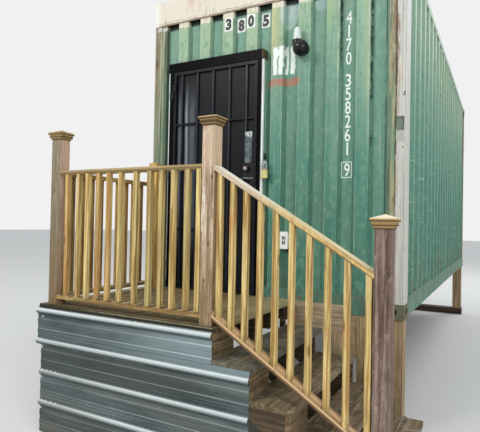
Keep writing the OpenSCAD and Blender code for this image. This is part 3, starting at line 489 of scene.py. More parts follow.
def post_cream_wear(k):
    """Grey streaks, yellow and brown stains, fine lines, black chips and rust on the cream."""
    k.lay((158, 158, 152), k.cloud((62, 0.7), 0.52, 0.62, 25), 0.6)
    k.lay((206, 190, 150), k.cloud((26, 7), 0.55, 0.66, 26), 0.55)
    k.lay((218, 204, 172), k.X.band(1.152, 1.178, 0.01), k.up(2.4, 3.0),
          k.cloud((14, 4), 0.4, 0.6, 35), 0.55)
    k.lay((148, 120, 92), k.X.step(1.178, 1.146), k.cloud((34, 5), 0.42, 0.56, 30),
          k.up(2.2, 3.0, (0.3, 0.95)))
    for x in (1.1795, 1.2035):
        k.lay((112, 112, 104), k.X.band(x - 0.0015, x + 0.0015, 0.0015),
              k.cloud((9, 2.2), 0.38, 0.52, x), 0.75)
    for chip in ((1.199, 2.605, 0.005, 0.016), (1.192, 2.59, 0.004, 0.008), (1.19, 2.19, 0.006, 0.006)):
        k.lay((40, 38, 32), k.spot(*chip), 0.9)
    k.lay((120, 114, 98), k.cloud((34, 30), 0.62, 0.7, 38), 0.5)
    k.lay(RUST, k.cloud((60, 12), 0.63, 0.69, 27, 0.7, 5), 0.8)


def cream_header():
    """Cream paint with pink and grey areas, brown runs and stains, a rusty lower edge, and painted shade on
    the faces that look down.
    """
    k = Mat("cream_paint")
    k.c = k.tone((226, 219, 201), k.noise((30, 5), 4, 0.6), 0.9, 1.06)
    k.lay((226, 208, 194), k.cloud((3, 2), 0.45, 0.65, 16, 0.6, 3), 0.35)
    k.lay((196, 178, 140), k.cloud((40, 2), 0.56, 0.7, 3, 0.65), 0.35)
    k.lay((176, 168, 150), k.cloud((60, 1.2), 0.6, 0.7, 8, 0.65), 0.3)
    z = k.Z + k.wobble((14, 8), 0.03, 4, seed=6)
    k.lay((112, 84, 60), z.step(3.546, 3.534), 0.8)
    k.lay((92, 66, 46), z.band(3.552, 3.558, 0.002), k.cloud(12, 0.44, 0.56, 18), 0.75)
    k.lay((146, 112, 78), k.cloud((34, 0.8), 0.57, 0.66, 21, 0.65), k.up(3.64, 3.55), 0.55)
    k.lay((190, 146, 110), k.X.band(-0.83, -0.6, 0.05), k.cloud((16, 7), 0.4, 0.62, 26),
          k.up(3.56, 3.66), 0.5)
    k.lay((150, 124, 98), k.X.step(0.7, 1.1), k.cloud((24, 4), 0.4, 0.58, 23), 0.6)
    k.lay((240, 240, 232), k.X.step(-1.13, -1.2), 0.6)
    k.lay(RUST, k.cloud((70, 40), 0.66, 0.72, 13, 0.7, 5), 0.8)
    # painted shade: the faces that look down are near black
    k.lay((26, 24, 20), k.NZ.step(-0.4, -0.8))
    return k.done(0.58, k.noise((50, 30), 4), 0.25, 0.002, spec=0.35)


def casting_steel():
    """Pitted steel with rust; the two upper front castings are cream."""
    k = Mat("casting_steel")
    k.c = k.tone((104, 106, 84), k.noise(40, 5, 0.7), 0.7, 1.25)
    k.lay((96, 68, 48), k.cloud(24, 0.52, 0.62, 3, 0.7, 5))
    cream = k.tone((216, 208, 186), k.noise(30, 4, seed=8), 0.85, 1.08)
    top = k.up(3.5, 3.6) * k.Y.step(0.25, 0.2)
    k.lay(cream, top, k.cloud(30, 0.63, 0.57, 12, 0.7, 5))
    return k.done(0.7, k.noise(120, 5, 0.7), 0.5, 0.002, spec=0.3)


def plain_paint(name, tint, rough=0.55, variety=0.12, rusty=0.5):
    k = Mat(name)
    k.c = k.tone(tint, k.noise((18, 6), 4, 0.6), 1 - variety, 1 + variety)
    if rusty:
        k.lay(RUST, k.cloud((40, 30), 0.6, 0.7, 5, 0.7, 5), rusty)
    return k.done(rough, k.noise((90, 60), 4), 0.2, 0.001, spec=0.35)


# door
def black_paint(name, tint, dust, shine, olive_end=False):
    """Black paint with dust; right of X = 0 it may be olive."""
    k = Mat(name)
    k.c = k.tone(tint, k.noise((14, 3), 4), 0.7, 1.4)
    k.lay((120, 124, 128), k.cloud((5, 2), 0.45, 0.75, 9, 0.65), dust)
    if olive_end:
        k.lay(k.tone((84, 76, 52), k.noise(40, 4), 0.8, 1.2), k.X.step(-0.004, 0.004))
    rough = k.noise((40, 8), 3, seed=2).step(0.3, 0.7, (0.26, 0.42), smooth=False)
    return k.done(rough, k.noise(220, 3), 0.08, 0.0006, spec=shine)


def door_sheet():
    """Dark sheet with a faint expanded pattern and a painted reflection: pale vertical sheen at the hinge
    side.
    """
    k = Mat("door_sheet")
    mesh = k.voronoi((230, 120), "DISTANCE_TO_EDGE")
    k.c = k.tone((28, 30, 34), k.noise((4, 1.2), 3), 0.6, 1.4)
    k.lay((16, 16, 18), mesh.step(0.02, 0.08), 0.45)
    # painted reflection: pale upright streaks on the front, strongest near the hinge side
    wave = k.wobble((2, 1.5), 0.03, 2, seed=3)
    x = k.X + wave
    sheen = k.mx(x.band(-0.895, -0.868, 0.012) * 0.5, x.band(-0.816, -0.786, 0.01) * 0.85,
                 x.band(-0.77, -0.7, 0.02) * 0.3)
    upper_end = (k.Z + wave * 6).step(2.95, 2.6)
    k.lay((140, 150, 158), sheen, k.up(1.2, 1.6), upper_end,
          k.cloud((6, 0.9), 0.25, 0.5, 7, 0.6, 3), k.NY.step(-0.3, -0.6))
    return k.done(0.36, mesh, 0.1, 0.0006, spec=0.13)


# timber
def wood(name, light, dark, grey, axis="Z", knots=0.8, cell=None, top=None, cracks=0.6, dirt=0.0,
         variety=0.18, band=None, extra=None, soft=0.1, warm=None):
    """Timber with its grain along axis; band(k) says where it runs along another one instead."""
    k = Mat(name)
    if band:
        turned, other_axis = band(k)

    def stretch(along, fine, long):
        return tuple(long if a == along else fine for a in "XYZ")

    def grain(fine, long, detail, seed):
        g = k.noise(stretch(axis, fine, long), detail, 0.6, seed, dist=0.6)
        if not band:
            return g
        h = k.noise(stretch(other_axis, fine, long), detail, 0.6, seed, dist=0.6)
        return g * (1 - turned) + h * turned

    broad = grain(55, 1.6, 4, 1.0)
    fine = grain(190, 4.0, 3, 5.0)
    k.c = k.mix(broad.step(0.5 - soft, 0.5 + soft), dark, light)
    k.shade(fine, 0.82, 1.14)
    k.shade(grain(34, 3.4, 3, 21.0).step(0.36, 0.64), 0.84, 1.13)
    k.lay(grey, grain(9, 0.7, 2, 9.0).step(0.45, 0.75), 0.45)
    if cell:
        r = k.cell(getattr(k, cell[0]), *cell[1:])
        if band:
            r = r * (1 - turned) + turned * 0.5
        k.shade(r, 1 - variety, 1 + variety)
        if warm:
            k.lay(warm, k.op("FRACT", r * 7.3).step(0.62, 0.72), 0.28)
    if knots:
        knot = (k.voronoi(stretch(axis, 9, 3.2)) + broad * 0.1).step(0.17, 0.1)
        k.lay(k.mix(0.5, dark, (60, 38, 22)), knot, knots)
    if cracks:
        k.lay((70, 52, 36), grain(120, 0.9, 2, 14.0).step(0.655, 0.7), cracks)
    # painted light: faces that look up take the paler top colour
    if top:
        k.lay(top, k.NZ.step(0.4, 0.85), 0.75)
    if dirt:
        k.lay((58, 48, 34), k.cloud(22, 0.5, 0.68, 33, 0.7, 5), dirt)
    if extra:
        extra(k)
    return k.done(broad.gloss(0.62, 0.8), broad * 0.6 + fine * 0.5, 0.35, 0.0015, spec=0.3)


def two_rails(k):
    """Masks of a railing's lower and upper rail."""
    return (k.up(LOWER_RAIL_TOP + 0.0006, LOWER_RAIL_TOP - 0.0006),
            k.up(UPPER_RAIL_BOTTOM - 0.0006, UPPER_RAIL_BOTTOM + 0.0006))


def rails_along(axis):
    """A railing's two rails, whose grain runs along axis."""
    return lambda k: (k.mx(*two_rails(k)), axis)


def border_board(k):
    """The board along the landing's front edge, whose grain runs along X."""
    return k.Y.step(-1.1985, -1.2005), "X"


def mossy_edge(k):
    """Darker patchy boards and black-green growth along the front edge of the landing, and painted shade
    low on its front faces.
    """
    n = k.noise(30, 4, 0.7, 44)
    k.lay((182, 178, 130), k.X.step(0.0, 0.2), k.Y.step(-0.9, -0.5), 0.4)
    k.lay((74, 62, 44), k.Y.step(-1.15, -1.24), k.cloud((4, 14, 14), 0.3, 0.55, 46, 0.65), 0.55)
    edge = (k.Y + (n - 0.5) * 0.07).step(-1.285, -1.308)
    k.lay(k.mix(n.step(0.4, 0.6), (30, 27, 18), (52, 56, 34)), k.mx(edge, k.to_front()), 0.88)
    # painted shade: the lower part of the front faces is near black, as the gap under the boards
    k.lay((20, 18, 12), k.to_front(), k.up(0.94, 0.934), 0.7)
    k.lay((150, 140, 118), k.to_front(), k.up(0.9425, 0.945), k.X.step(-0.9, -0.5),
          k.cloud((9, 60), 0.34, 0.5, 47), 0.85)


def front_rails(k):
    """Greyer top rail with painted shade along its lower edge, browner bottom rail, painted shadows under
    the balusters.
    """
    low, top = two_rails(k)
    k.lay((158, 144, 108), top, 0.65)
    # painted shade on the lower part of the top rail's front face
    k.lay((96, 74, 44), top, k.to_front(), k.up(UPPER_RAIL_BOTTOM + 0.019, UPPER_RAIL_BOTTOM + 0.011), 0.7)
    k.lay((92, 72, 42), k.up(LOWER_RAIL_TOP + 0.06, LOWER_RAIL_TOP), k.cloud((26, 12), 0.35, 0.6, 78), 0.35)
    k.lay((140, 112, 66), low, 0.45)
    # painted shadows: dark dashes under the balusters on the bottom rail
    along = k.op("FRACT", k.X * (1 / BALUSTER_PITCH) + 0.3)
    k.lay((56, 42, 24), along.band(0.3, 0.74, 0.04),
          k.Z.band(LOWER_RAIL_TOP - 0.004, LOWER_RAIL_TOP + 0.002, 0.001), 0.75)
    k.lay((84, 66, 40), low, k.cloud((5, 40), 0.48, 0.6, 79, 0.6, 3), 0.4)


def mottled(k):
    """Short pale and dark dashes along the grain."""
    k.lay((176, 156, 140), k.cloud((46, 14), 0.56, 0.66, 84), 0.45)
    k.lay((72, 54, 48), k.cloud((40, 9), 0.56, 0.66, 86), 0.5)


def old_post(k):
    """The two landing posts: dark and pale grain lines, knots, and a browner foot."""
    k.lay((112, 84, 64), k.noise((70, 2.2), 4, 0.7, 71, dist=0.4).step(0.52, 0.62), 0.62)
    k.lay((232, 218, 198), k.cloud((48, 5.0), 0.54, 0.64, 73, 0.65), 0.55)
    # left post: olive colour with painted shade on its front, and pinkish right side
    left = k.X.step(-0.9, -1.0)
    to_right = k.NX.step(0.4, 0.8)
    olive = k.tone((110, 106, 86), k.noise((90, 12), 4, 0.75), 0.45, 1.55)
    k.lay(olive, left, k.to_front(), k.up(2.2, 1.5, (0.6, 0.78)))
    k.lay((206, 166, 122), k.X.step(0.18, 0.2), to_right, 0.45)
    k.lay((226, 186, 160), left, to_right, k.up(1.5, 1.9, (0.4, 1.0)), 0.6)
    # brown figure lines about 16 mm apart
    wave = k.wobble((14, 5), 0.05, 3, 0.6, 76)
    figure = k.op("FRACT", (k.X + k.Y + wave) * 62.0)
    k.lay((108, 80, 60), abs(figure - 0.5).step(0.18, 0.05), k.cloud((20, 3), 0.38, 0.54, 77), 0.62)
    for knot in ((0.274, 1.453, 0.008, 0.019), (0.292, 1.868, 0.007, 0.01),
                 (0.25, 1.224, 0.008, 0.015), (-1.1, 1.8, 0.008, 0.016)):
        k.lay((84, 60, 44), k.spot(*knot), k.to_front(), 0.75)
    # right post: bleached strip, also a painted highlight, and bleached upper part; browner foot on both
    k.lay((236, 230, 220), k.X.band(0.216, 0.244, 0.008), k.Z.band(1.5, 1.84, 0.06),
          k.cloud((60, 9), 0.44, 0.56, 80), 0.8)
    k.lay((124, 96, 58), k.up(1.75, 1.05), k.cloud((16, 3), 0.25, 0.6, 75, 0.65), 0.78)
    k.lay((236, 210, 182), k.X.step(0.1, 0.2), k.up(1.85, 2.0), 0.4)


def tread_stains(k):
    """Grey second tread, whitish dried stains, wet dark patches, litter and olive front edges."""
    k.lay((104, 110, 104), k.Z.band(0.7, 0.8, 0.01), k.cloud(5, 0.3, 0.55, 51), 0.6)
    k.lay((156, 150, 136), k.cloud(9, 0.54, 0.66, 52, 0.65), 0.55)
    k.lay((58, 46, 34), k.cloud(6, 0.5, 0.62, 54, 0.65), 0.6)
    k.lay((150, 106, 66), k.cloud(46, 0.6, 0.66, 56, 0.75), 0.7)
    k.lay((206, 198, 180), k.cloud(70, 0.66, 0.7, 57, 0.7, 3), 0.7)
    k.lay((66, 62, 38), k.to_front(), k.cloud((12, 30), 0.35, 0.6, 58), 0.45)


def batten_side(k):
    """The right batten's white ends halfway round its side, where the wall's green begins, with a painted
    shadow on that side just above the hasp.
    """
    side = k.NX.step(0.4, 0.8) * k.X.step(-0.1, 0.0)
    back = k.Y.step(-0.01, -0.006)
    k.lay((140, 184, 160), side, back)
    k.lay((74, 92, 66), side, k.Y.band(-0.008, 0.004, 0.002), 0.8)
    # painted shadow just above the hasp
    k.lay((24, 30, 26), side, back, k.Z.band(2.15, 2.205, 0.006), 0.9)


def cap_lines(k):
    """Painted highlights on the upper edges and painted shade on the undersides of the caps' steps, and
    painted light on the low cap's top.
    """
    h = k.Z - k.X.step(0.99, 1.01, (POST_CAP_Z, STAIR_CAP_Z))
    k.lay((80, 58, 28), k.X.band(0.0, 0.6), 0.85)
    # painted highlights on the steps' upper edges
    for z in (0.0115, 0.0345, 0.0505):
        k.lay((218, 190, 140), h.band(z - 0.0025, z + 0.0035, 0.001), 0.75)
    # painted shade on the steps' undersides
    for z0, z1 in ((-0.001, 0.004), (0.014, 0.022), (0.038, 0.043)):
        k.lay((60, 42, 24), h.band(z0, z1, 0.001), 0.8)
    # painted light on the low cap's top
    k.lay((252, 246, 216), k.NZ.step(0.4, 0.85), k.X.step(0.9, 1.1), 0.75)


def stair_rail_wood():
    """Golden balusters, a brown bottom rail with its fillers, and a handrail bleached at the top, with
    painted highlights, shade and light on the rails.
    """
    k = Mat("new_pine_stair")
    u = k.Z + (k.X - STAIR_RAIL_X) * STAIR_SLOPE

    def above(lo, hi):
        """Mask by the height over the slope line through the landing's edge."""
        return u.step(DECK_Z + lo, DECK_Z + hi)

    def within(lo, hi, soft):
        return u.band(DECK_Z + lo, DECK_Z + hi, soft)

    xs = [STAIR_RAIL_X + STAIR_RAIL_RUN * f for f in STAIR_BALUSTERS]
    baluster = k.mx(*[k.X.band(x - 0.0162, x + 0.0162, 0.0003) for x in xs])
    beside = k.mx(*[k.X.band(x - 0.0235, x - 0.0162, 0.0008) for x in xs])
    rail = above(0.075, 0.0742)
    low = k.mx(rail, (1 - baluster) * above(0.0965, 0.0955))
    sloping = k.mx(low, above(0.9545, 0.9565))
    hand = sloping * (1 - low)
    to_top = k.NZ.step(0.4, 0.75)
    to_side = k.NZ.step(0.4, 0.2)

    def slope_noise(fine, long, detail, rough, dist=0.0):
        p = k.vec(u * fine, k.Y * fine, k.X * long)
        return k.noise(1, detail, rough, p=p, dist=dist)

    def grain(fine, long, detail, seed, dist):
        """Upright on the balusters and along the slope on the rails."""
        g = k.noise((fine, long), detail, 0.6, seed, dist=dist)
        return g * (1 - sloping) + slope_noise(fine, long, detail, 0.6, dist) * sloping

    broad = grain(55.0, 1.6, 4, 1, 0.6)
    fine = grain(190.0, 4.0, 3, 5, 0.0)
    along = slope_noise(210.0, 9.0, 3, 0.7)
    k.c = k.mix(broad.step(0.4, 0.6), PINE_DARK, PINE_LIGHT)
    k.shade(fine, 0.82, 1.14)
    k.shade(k.cloud((34, 3.4), 0.36, 0.64, 23, 0.6, 3), 0.84, 1.13)
    k.shade(k.noise((11, 0.4), 2, seed=3), 0.8, 1.2)
    k.lay(PINE_WARM, k.cloud((8, 5), 0.6, 0.72, 27, 0.6, 3), 0.5)
    # bottom rail and fillers: a painted highlight on the upper line, painted shade on the lower edge,
    # joints, dark baluster feet, and painted shade on the fillers beside the balusters
    rail_c = k.tone(k.tone((174, 136, 96), k.noise(40, 4, 0.7, 35), 0.6, 1.35), along, 0.45, 1.5)
    k.lay(rail_c, low, 0.85)
    k.lay((92, 72, 56), low, k.X.step(0.75, 1.15), 0.4)
    k.lay((234, 204, 158), rail, above(0.06, 0.064), to_side, 0.75)
    k.lay((84, 62, 42), rail, above(0.057, 0.051), 0.85)
    k.lay((96, 66, 42), within(0.0725, 0.0752, 0.0006), to_side, 0.7)
    k.lay((106, 84, 50), 1 - low, above(0.135, 0.08), k.cloud((30, 12), 0.34, 0.56, 37), 0.5)
    k.lay((70, 46, 28), low * (1 - rail), beside, 0.75)
    # handrail: bleached upper end, streaks, pinkish line and painted shade on its underside
    k.lay((232, 224, 208), hand, k.X.step(0.9, 0.4), 0.6)
    k.lay((132, 104, 70), hand, along.step(0.54, 0.62), 0.45)
    k.lay((182, 122, 84), hand, within(0.9745, 0.9795, 0.0012), 0.65)
    k.lay((104, 76, 44), hand, above(0.9625, 0.958), 0.65)
    # painted light on the tops, whiter on the handrail's bleached upper end, and on the fillers' upper
    # edge; knots
    k.lay(k.mix(low, PINE_TOP, k.tone(rail_c, low, 1.0, 1.12)), to_top, 0.75)
    k.lay((246, 242, 234), hand, to_top, k.X.step(0.9, 0.4), 0.65)
    k.lay((232, 200, 156), low, above(0.0925, 0.0932), 0.35)
    k.lay((104, 66, 34), k.voronoi((9, 3.2)).step(0.15, 0.08), 0.7)
    return k.done(0.68, broad * 0.6 + fine * 0.5, 0.35, 0.0015, spec=0.3)


# metals and the rest
def galvanised():
    """Dull grey sheet with pale ribs in painted light and shade, fine drawn lines along it, and olive and
    brown stains.
    """
    k = Mat("galvanised")
    drawn = k.noise((0.7, 8, 60), 4, 0.65)
    brushed = k.noise((2, 40, 160), 4, 0.6)
    k.c = k.mix(k.cloud((1.6, 6), 0.35, 0.65, 3, 0.6, 3), (62, 76, 77), (88, 102, 103))
    k.lay((92, 94, 80), k.cloud((1.1, 5), 0.42, 0.62, 11, 0.6, 3), k.up(0.75, 0.55), 0.55)
    k.shade(drawn.step(0.3, 0.7), 0.78, 1.24)
    k.shade(k.voronoi(60), 0.94, 1.06)
    k.lay((150, 166, 170), k.X.step(-0.6, 0.3), k.up(0.5, 0.85), 0.42)
    # pale lines and unequal tones between the ribs
    bay = k.op("FRACT", (k.Z - (RIB_Z - RIB_PITCH / 2)) * (1 / RIB_PITCH))
    from_rib = abs(bay - 0.5)
    lines = k.mx(*[from_rib.band(a, a + 0.015, 0.006) for a in (0.205, 0.285, 0.405)])
    k.lay((178, 192, 192), lines, k.cloud((3, 30), 0.35, 0.65, 13, 0.6, 3), 0.42)
    k.shade(k.X.step(0.1, -1.1), 1.0, 0.86)
    k.lay((54, 62, 58), k.Z.band(0.45, 0.66, 0.01), k.X.step(0.5, 0.1), 0.62)
    k.lay((128, 146, 146), k.Z.band(0.245, 0.43, 0.01), 0.08)
    k.lay((186, 206, 212), k.Z.band(0.69, 0.88, 0.01), k.X.step(-0.7, 0.1), 0.16)
    # ribs: painted light on their faces and tops, duller to the left and low down; painted shade on their
    # lower faces and undersides, and a painted shadow on the sheet under each rib
    rib = k.Y.step(-1.333, -1.343)
    dull = k.X.step(-0.2, -1.1, (0.25, 1.0)) * k.up(0.88, 0.45, (0.1, 1.0))
    lit = k.tone(k.mix(dull, (210, 223, 224), (156, 164, 160)), k.noise(60, 4, 0.7, 17), 0.78, 1.18)
    k.lay(k.mix(bay.step(0.47, 0.52), (92, 102, 100), lit), rib, 0.85)
    k.lay(k.mix(dull, (242, 249, 250), (196, 203, 198)), k.NZ.step(0.15, 0.6), 0.12 + rib * 0.75)
    k.lay((40, 50, 48), k.NZ.step(-0.15, -0.6), 0.15 + rib * 0.7)
    k.lay((34, 42, 40), bay.band(0.385, 0.428, 0.012), k.Y.step(-1.3335, -1.331), 0.75)
    k.lay((110, 98, 78), k.up(0.25, 0.02), k.cloud((12, 20), 0.35, 0.6, 9), 0.5)
    return k.done(brushed.gloss(0.34, 0.52), brushed + drawn, 0.12, 0.001, metal=0.25, spec=0.4)


def brick():
    """Red bricks of 203 by 67 mm with their mortar, laid round the pier's corners."""
    k = Mat("brick")
    side = abs(k.NX).step(0.4, 0.6)
    along = k.X * (1 - side) + k.Y * side
    n = k.node("TexBrick", Vector=k.vec(along, k.Z, 0.0), Color1=colour((158, 96, 72)),
               Color2=colour((136, 84, 64)), Mortar=colour((166, 154, 132)), Scale=1.0,
               Mortar_Size=0.006, Brick_Width=0.203, Row_Height=0.067)
    k.c = k.tone(n.outputs["Color"], k.noise(60, 5, 0.7), 0.7, 1.3)
    bump = Value(k, n.outputs["Fac"]) * -1.0 + k.noise(90, 4) * 0.4
    return k.done(0.85, bump, 0.5, 0.003, spec=0.2)


def metal(name, tint, rough, metallic):
    k = Mat(name)
    n = k.noise(60, 4, 0.65)
    k.c = k.tone(tint, n, 0.8, 1.2)
    shine = n.gloss(rough * 0.8, rough * 1.3)
    return k.done(shine, k.noise(300, 3), 0.1, 0.0005, metal=metallic)


def lockset_mat():
    """Black case, lever and bolt under a satin grey cover plate, with painted highlights."""
    k = Mat("lock_steel")
    n = k.noise((60, 160), 4, 0.65)
    plate = k.up(2.1165, 2.1175) * k.X.band(-0.149, -0.08, 0.002)
    grey = k.mix(k.cloud((22, 14), 0.4, 0.6, 4), (56, 66, 68), (106, 118, 119))
    k.c = k.mix(plate, (22, 23, 26), grey)
    k.shade(n, 0.6, 1.4)
    # painted highlights: a glint on the plate's upper end, a spot on the bolt's face and a line along the
    # lever
    slant = k.Z + (k.X + 0.12) * 0.6
    glint = slant.step(2.34, 2.372) * k.cloud((90, 60), 0.4, 0.55, 3)
    k.lay((214, 222, 220), plate * glint, 0.85)
    k.lay((176, 172, 160), k.spot(-0.137, 2.072, 0.016, 0.015), k.to_front(), 0.9)
    k.lay((150, 150, 142), k.Z.band(1.976, 1.99, 0.002), k.cloud(60, 0.42, 0.52, 6), 0.8)
    return k.done(n.gloss(0.3, 0.46), k.noise(300, 3), 0.1, 0.0005, metal=0.3, spec=0.4)


def padlock_mat():
    """Brass body under a steel shackle, with a pale left side and tarnish."""
    k = Mat("lock_brass")
    shackle_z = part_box("padlock")[0][2] + 0.09
    k.c = k.mix(k.up(2.044, 2.05), (212, 206, 134), (142, 146, 126))
    k.lay((172, 176, 176), k.up(shackle_z - 0.001, shackle_z + 0.001))
    k.shade(k.noise(80, 4, 0.65), 0.75, 1.2)
    k.lay((96, 92, 60), k.cloud((130, 90), 0.58, 0.66, 8), 0.7)
    k.lay((176, 182, 180), k.X.step(0.024, 0.02))
    return k.done(0.4, k.noise(300, 3), 0.1, 0.0005, metal=0.45)


def white_plastic():
    """White outlet plate with painted shade in its recesses and two grey sockets."""
    k = Mat("white_plastic")
    k.c = k.tone((246, 247, 242), k.noise((40, 20), 4), 0.93, 1.04)
    # painted shade: faces set back from the front face are near black
    face_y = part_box("outlet_plate")[0][1] + 0.0005
    k.lay((30, 32, 34), k.Y.step(face_y, face_y + 0.001), k.to_front())
    for z in (1.467, 1.423):
        k.lay((60, 64, 66), k.spot(0.22, z, 0.017, 0.014), k.to_front(), 0.75)
    return k.done(0.38, k.noise(200, 2), 0.05, 0.0005)


def lamp_mat():
    """White glass with a grey ring over a black base."""
    k = Mat("lamp_plastic")
    glass_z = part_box("wall_light")[1][2] - 0.1112
    k.c = k.tone((214, 228, 222), k.noise(30, 3), 0.94, 1.04)
    k.lay((120, 126, 122), k.Z.band(glass_z + 0.016, glass_z + 0.022, 0.001), 0.3)
    black = k.tone((13, 14, 16), k.noise(30, 4), 0.7, 1.4)
    k.c = k.mix(k.up(glass_z, glass_z + 0.002), black, k.c)
    return k.done(0.26, k.noise(120, 3), 0.06, 0.0005, spec=0.35)


def plate_mat():
    k = Mat("plate_white")
    k.c = k.tone((226, 230, 224), k.noise((40, 20), 4), 0.92, 1.05)
    k.lay((150, 130, 100), k.cloud((70, 40), 0.64, 0.72, 5, 0.7, 5), 0.6)
    return k.done(0.4, k.noise(120, 3), 0.1, 0.0005)


def figure_paint(name, tint, wear):
    """Stencil paint with green specks of wear."""
    k = Mat(name)
    k.c = k.tone(tint, k.noise((60, 30), 4), 0.85, 1.1)
    k.lay((120, 150, 132), k.cloud((120, 60), 0.6, 0.7, 3), wear)
    return k.done(0.5, k.noise(200, 2), 0.1, 0.0005)


FINISHES = {
    "front_wall_left front_wall_over_door front_wall_right": green("front"),
    "left_side_wall right_side_wall": green("side"),
    "roof_panel": green("roof"),
    "front_sill side_top_rails side_bottom_rails rear_frame cargo_doors": green("plain"),
    "corner_posts": green_post(),
    "corner_castings": casting_steel(),
    "front_header header_plate": cream_header(),
    "floor_crossmembers": plain_paint("frame_steel", (58, 62, 60)),
    "cargo_door_gasket": plain_paint("seal_rubber", (34, 34, 35), 0.7, 0.2, 0.0),
    "cargo_door_gear": metal("gear_steel", (150, 156, 158), 0.42, 0.6),
    "door_head door_jambs": black_paint("black_paint_head", (7, 7, 9), 0.015, 0.04, olive_end=True),
    "leaf_bars": black_paint("black_paint_bar", (40, 42, 47), 0.1, 0.22),
    "leaf_frame fixed_hinge_barrels leaf_hinge_barrels": black_paint(
        "black_paint", (24, 25, 29), 0.06, 0.14),
    "leaf_sheet": door_sheet(),
    "leaf_lockset": lockset_mat(),
    "padlock": padlock_mat(),
    "wall_light": lamp_mat(),
    "outlet_plate": white_plastic(),
    "number_plates": plate_mat(),
    "front_skirt": galvanised(),
    "brick_pier": brick(),
    "stair_railing": stair_rail_wood(),
    "front_railing": wood(
        "new_pine", PINE_LIGHT, PINE_DARK, PINE_GREY, band=rails_along("X"), variety=0.14,
        cell=("X", BALUSTER_PITCH, 0.3), top=(206, 194, 158), warm=PINE_WARM, extra=front_rails),
    "left_railing": wood(
        "new_pine_left", (196, 168, 104), (132, 100, 54), (140, 132, 92), band=rails_along("Y"),
        cell=("Y", BALUSTER_PITCH), top=(190, 178, 142), warm=PINE_WARM),
    "post_rear": wood("new_pine_post", (222, 186, 108), (184, 142, 74), PINE_GREY, top=PINE_TOP),
    "post_caps": wood(
        "new_pine_cap", (176, 144, 86), (124, 96, 54), (140, 122, 80), axis="X", knots=0.0,
        extra=cap_lines),
    "landing_posts": wood(
        "weathered_wood", (214, 190, 160), (158, 130, 102), (190, 176, 154), cracks=0.9, knots=0.9,
        dirt=0.25, extra=old_post),
    "base_board": wood(
        "weathered_board", (186, 166, 136), (152, 130, 102), (160, 148, 126), axis="X", cracks=0.5,
        dirt=0.25, knots=0.4, soft=0.16),
    "deck_frame deck_joists stair_stringers ground_sleepers": wood(
        "dark_wood", (92, 74, 54), (56, 43, 30), (80, 72, 58), axis="X", cracks=0.8, dirt=0.4),
    "support_posts": wood(
        "dark_wood_post", (184, 160, 120), (140, 116, 84), (150, 138, 112), cracks=0.7, dirt=0.3,
        soft=0.16),
    "post_stair": wood(
        "stair_post_wood", (144, 122, 110), (88, 66, 58), (124, 110, 100), cracks=0.8, knots=0.5,
        dirt=0.35, extra=mottled),
    "deck_boards": wood(
        "deck_wood", (172, 154, 112), (126, 106, 70), (148, 136, 100), axis="Y", variety=0.16,
        cell=("X", DECK_PITCH, 0.53), dirt=0.35, band=border_board, extra=mossy_edge),
    "stair_treads": wood(
        "tread_wood", (140, 122, 94), (98, 80, 58), (134, 126, 110), axis="Y", variety=0.2,
        cell=("X", STEP_GOING / 2), dirt=0.4, extra=tread_stains),
    "riser_blocks": wood(
        "riser_wood", (142, 122, 88), (92, 72, 48), (104, 96, 76), axis="Y", cracks=0.7, dirt=0.6),
    "floor_boards": wood(
        "floor_wood", (150, 110, 66), (112, 78, 44), (130, 100, 66), axis="X", cracks=0.2, knots=0.3),
    "white_battens": wood(
        "white_wood", (252, 254, 253), (240, 245, 243), (242, 246, 245), cracks=0.1, knots=0.0,
        extra=batten_side),
}
for names, material in FINISHES.items():
    for name in names.split():
        slots = nodes[name].data.materials
        slots.clear()
        slots.append(material)


# added pieces
def linked(name, data):
    """A new object in the scene."""
    ob = bpy.data.objects.new(name, data)
    bpy.context.scene.collection.objects.link(ob)
    return ob


def piece(name, mesh, material):
    """An object of the cabin."""
    mesh.materials.clear()
    mesh.materials.append(material)
    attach(linked(name, mesh), "cabin")


def mesh_from(name, bm):
    mesh = bpy.data.meshes.new(name)
    bm.to_mesh(mesh)
    bm.free()
    return mesh


def figure(name, text, at, size, material, thick, bold):
    """A plain figure centred at a point of a face that looks toward -Y, of a width and height."""
    font = bpy.data.curves.new(name, "FONT")
    font.body = text
    font.align_x, font.align_y = "CENTER", "CENTER"
    font.extrude = thick
    font.offset = bold
    font.resolution_u = 4
    ob = linked(name, font)
    bpy.context.view_layer.update()
    mesh = bpy.data.meshes.new_from_object(ob.evaluated_get(bpy.context.evaluated_depsgraph_get()))
    bpy.data.objects.remove(ob)
    xs = [v.co.x for v in mesh.vertices]
    ys = [v.co.y for v in mesh.vertices]
    left, right, bottom, top = min(xs), max(xs), min(ys), max(ys)
    for v in mesh.vertices:
        across = (v.co.x - (left + right) / 2) * size[0] / (right - left)
        up = (v.co.y - (bottom + top) / 2) * size[1] / (top - bottom)
        v.co = Vector((at[0] + across, at[1] - v.co.z, at[2] + up))
    mesh.name = name
    piece(name, mesh, material)


def figure_box(name, x, z, width, height, line):
    """A painted rectangle of thin bars round the last figure."""
    bm = bmesh.new()
    w, h = width / 2, height / 2
    bars = ((-w, w, h - line, h), (-w, w, -h, line - h),
            (-w, line - w, line - h, h - line), (w - line, w, line - h, h - line))
    for x0, x1, z0, z1 in bars:
        corners = ((x0, z0), (x1, z0), (x1, z1), (x0, z1))
        vs = [bm.verts.new((x + a, y, z + b)) for y in (VALLEY_Y, VALLEY_Y - 0.0006) for a, b in corners]
        bm.faces.new(vs[4:8])
        bm.faces.new(vs[3::-1])
        for j in range(4):
            bm.faces.new((vs[j], vs[(j + 1) % 4], vs[4 + (j + 1) % 4], vs[4 + j]))
    bmesh.ops.recalc_face_normals(bm, faces=bm.faces)
    piece(name, mesh_from(name, bm), STENCIL)


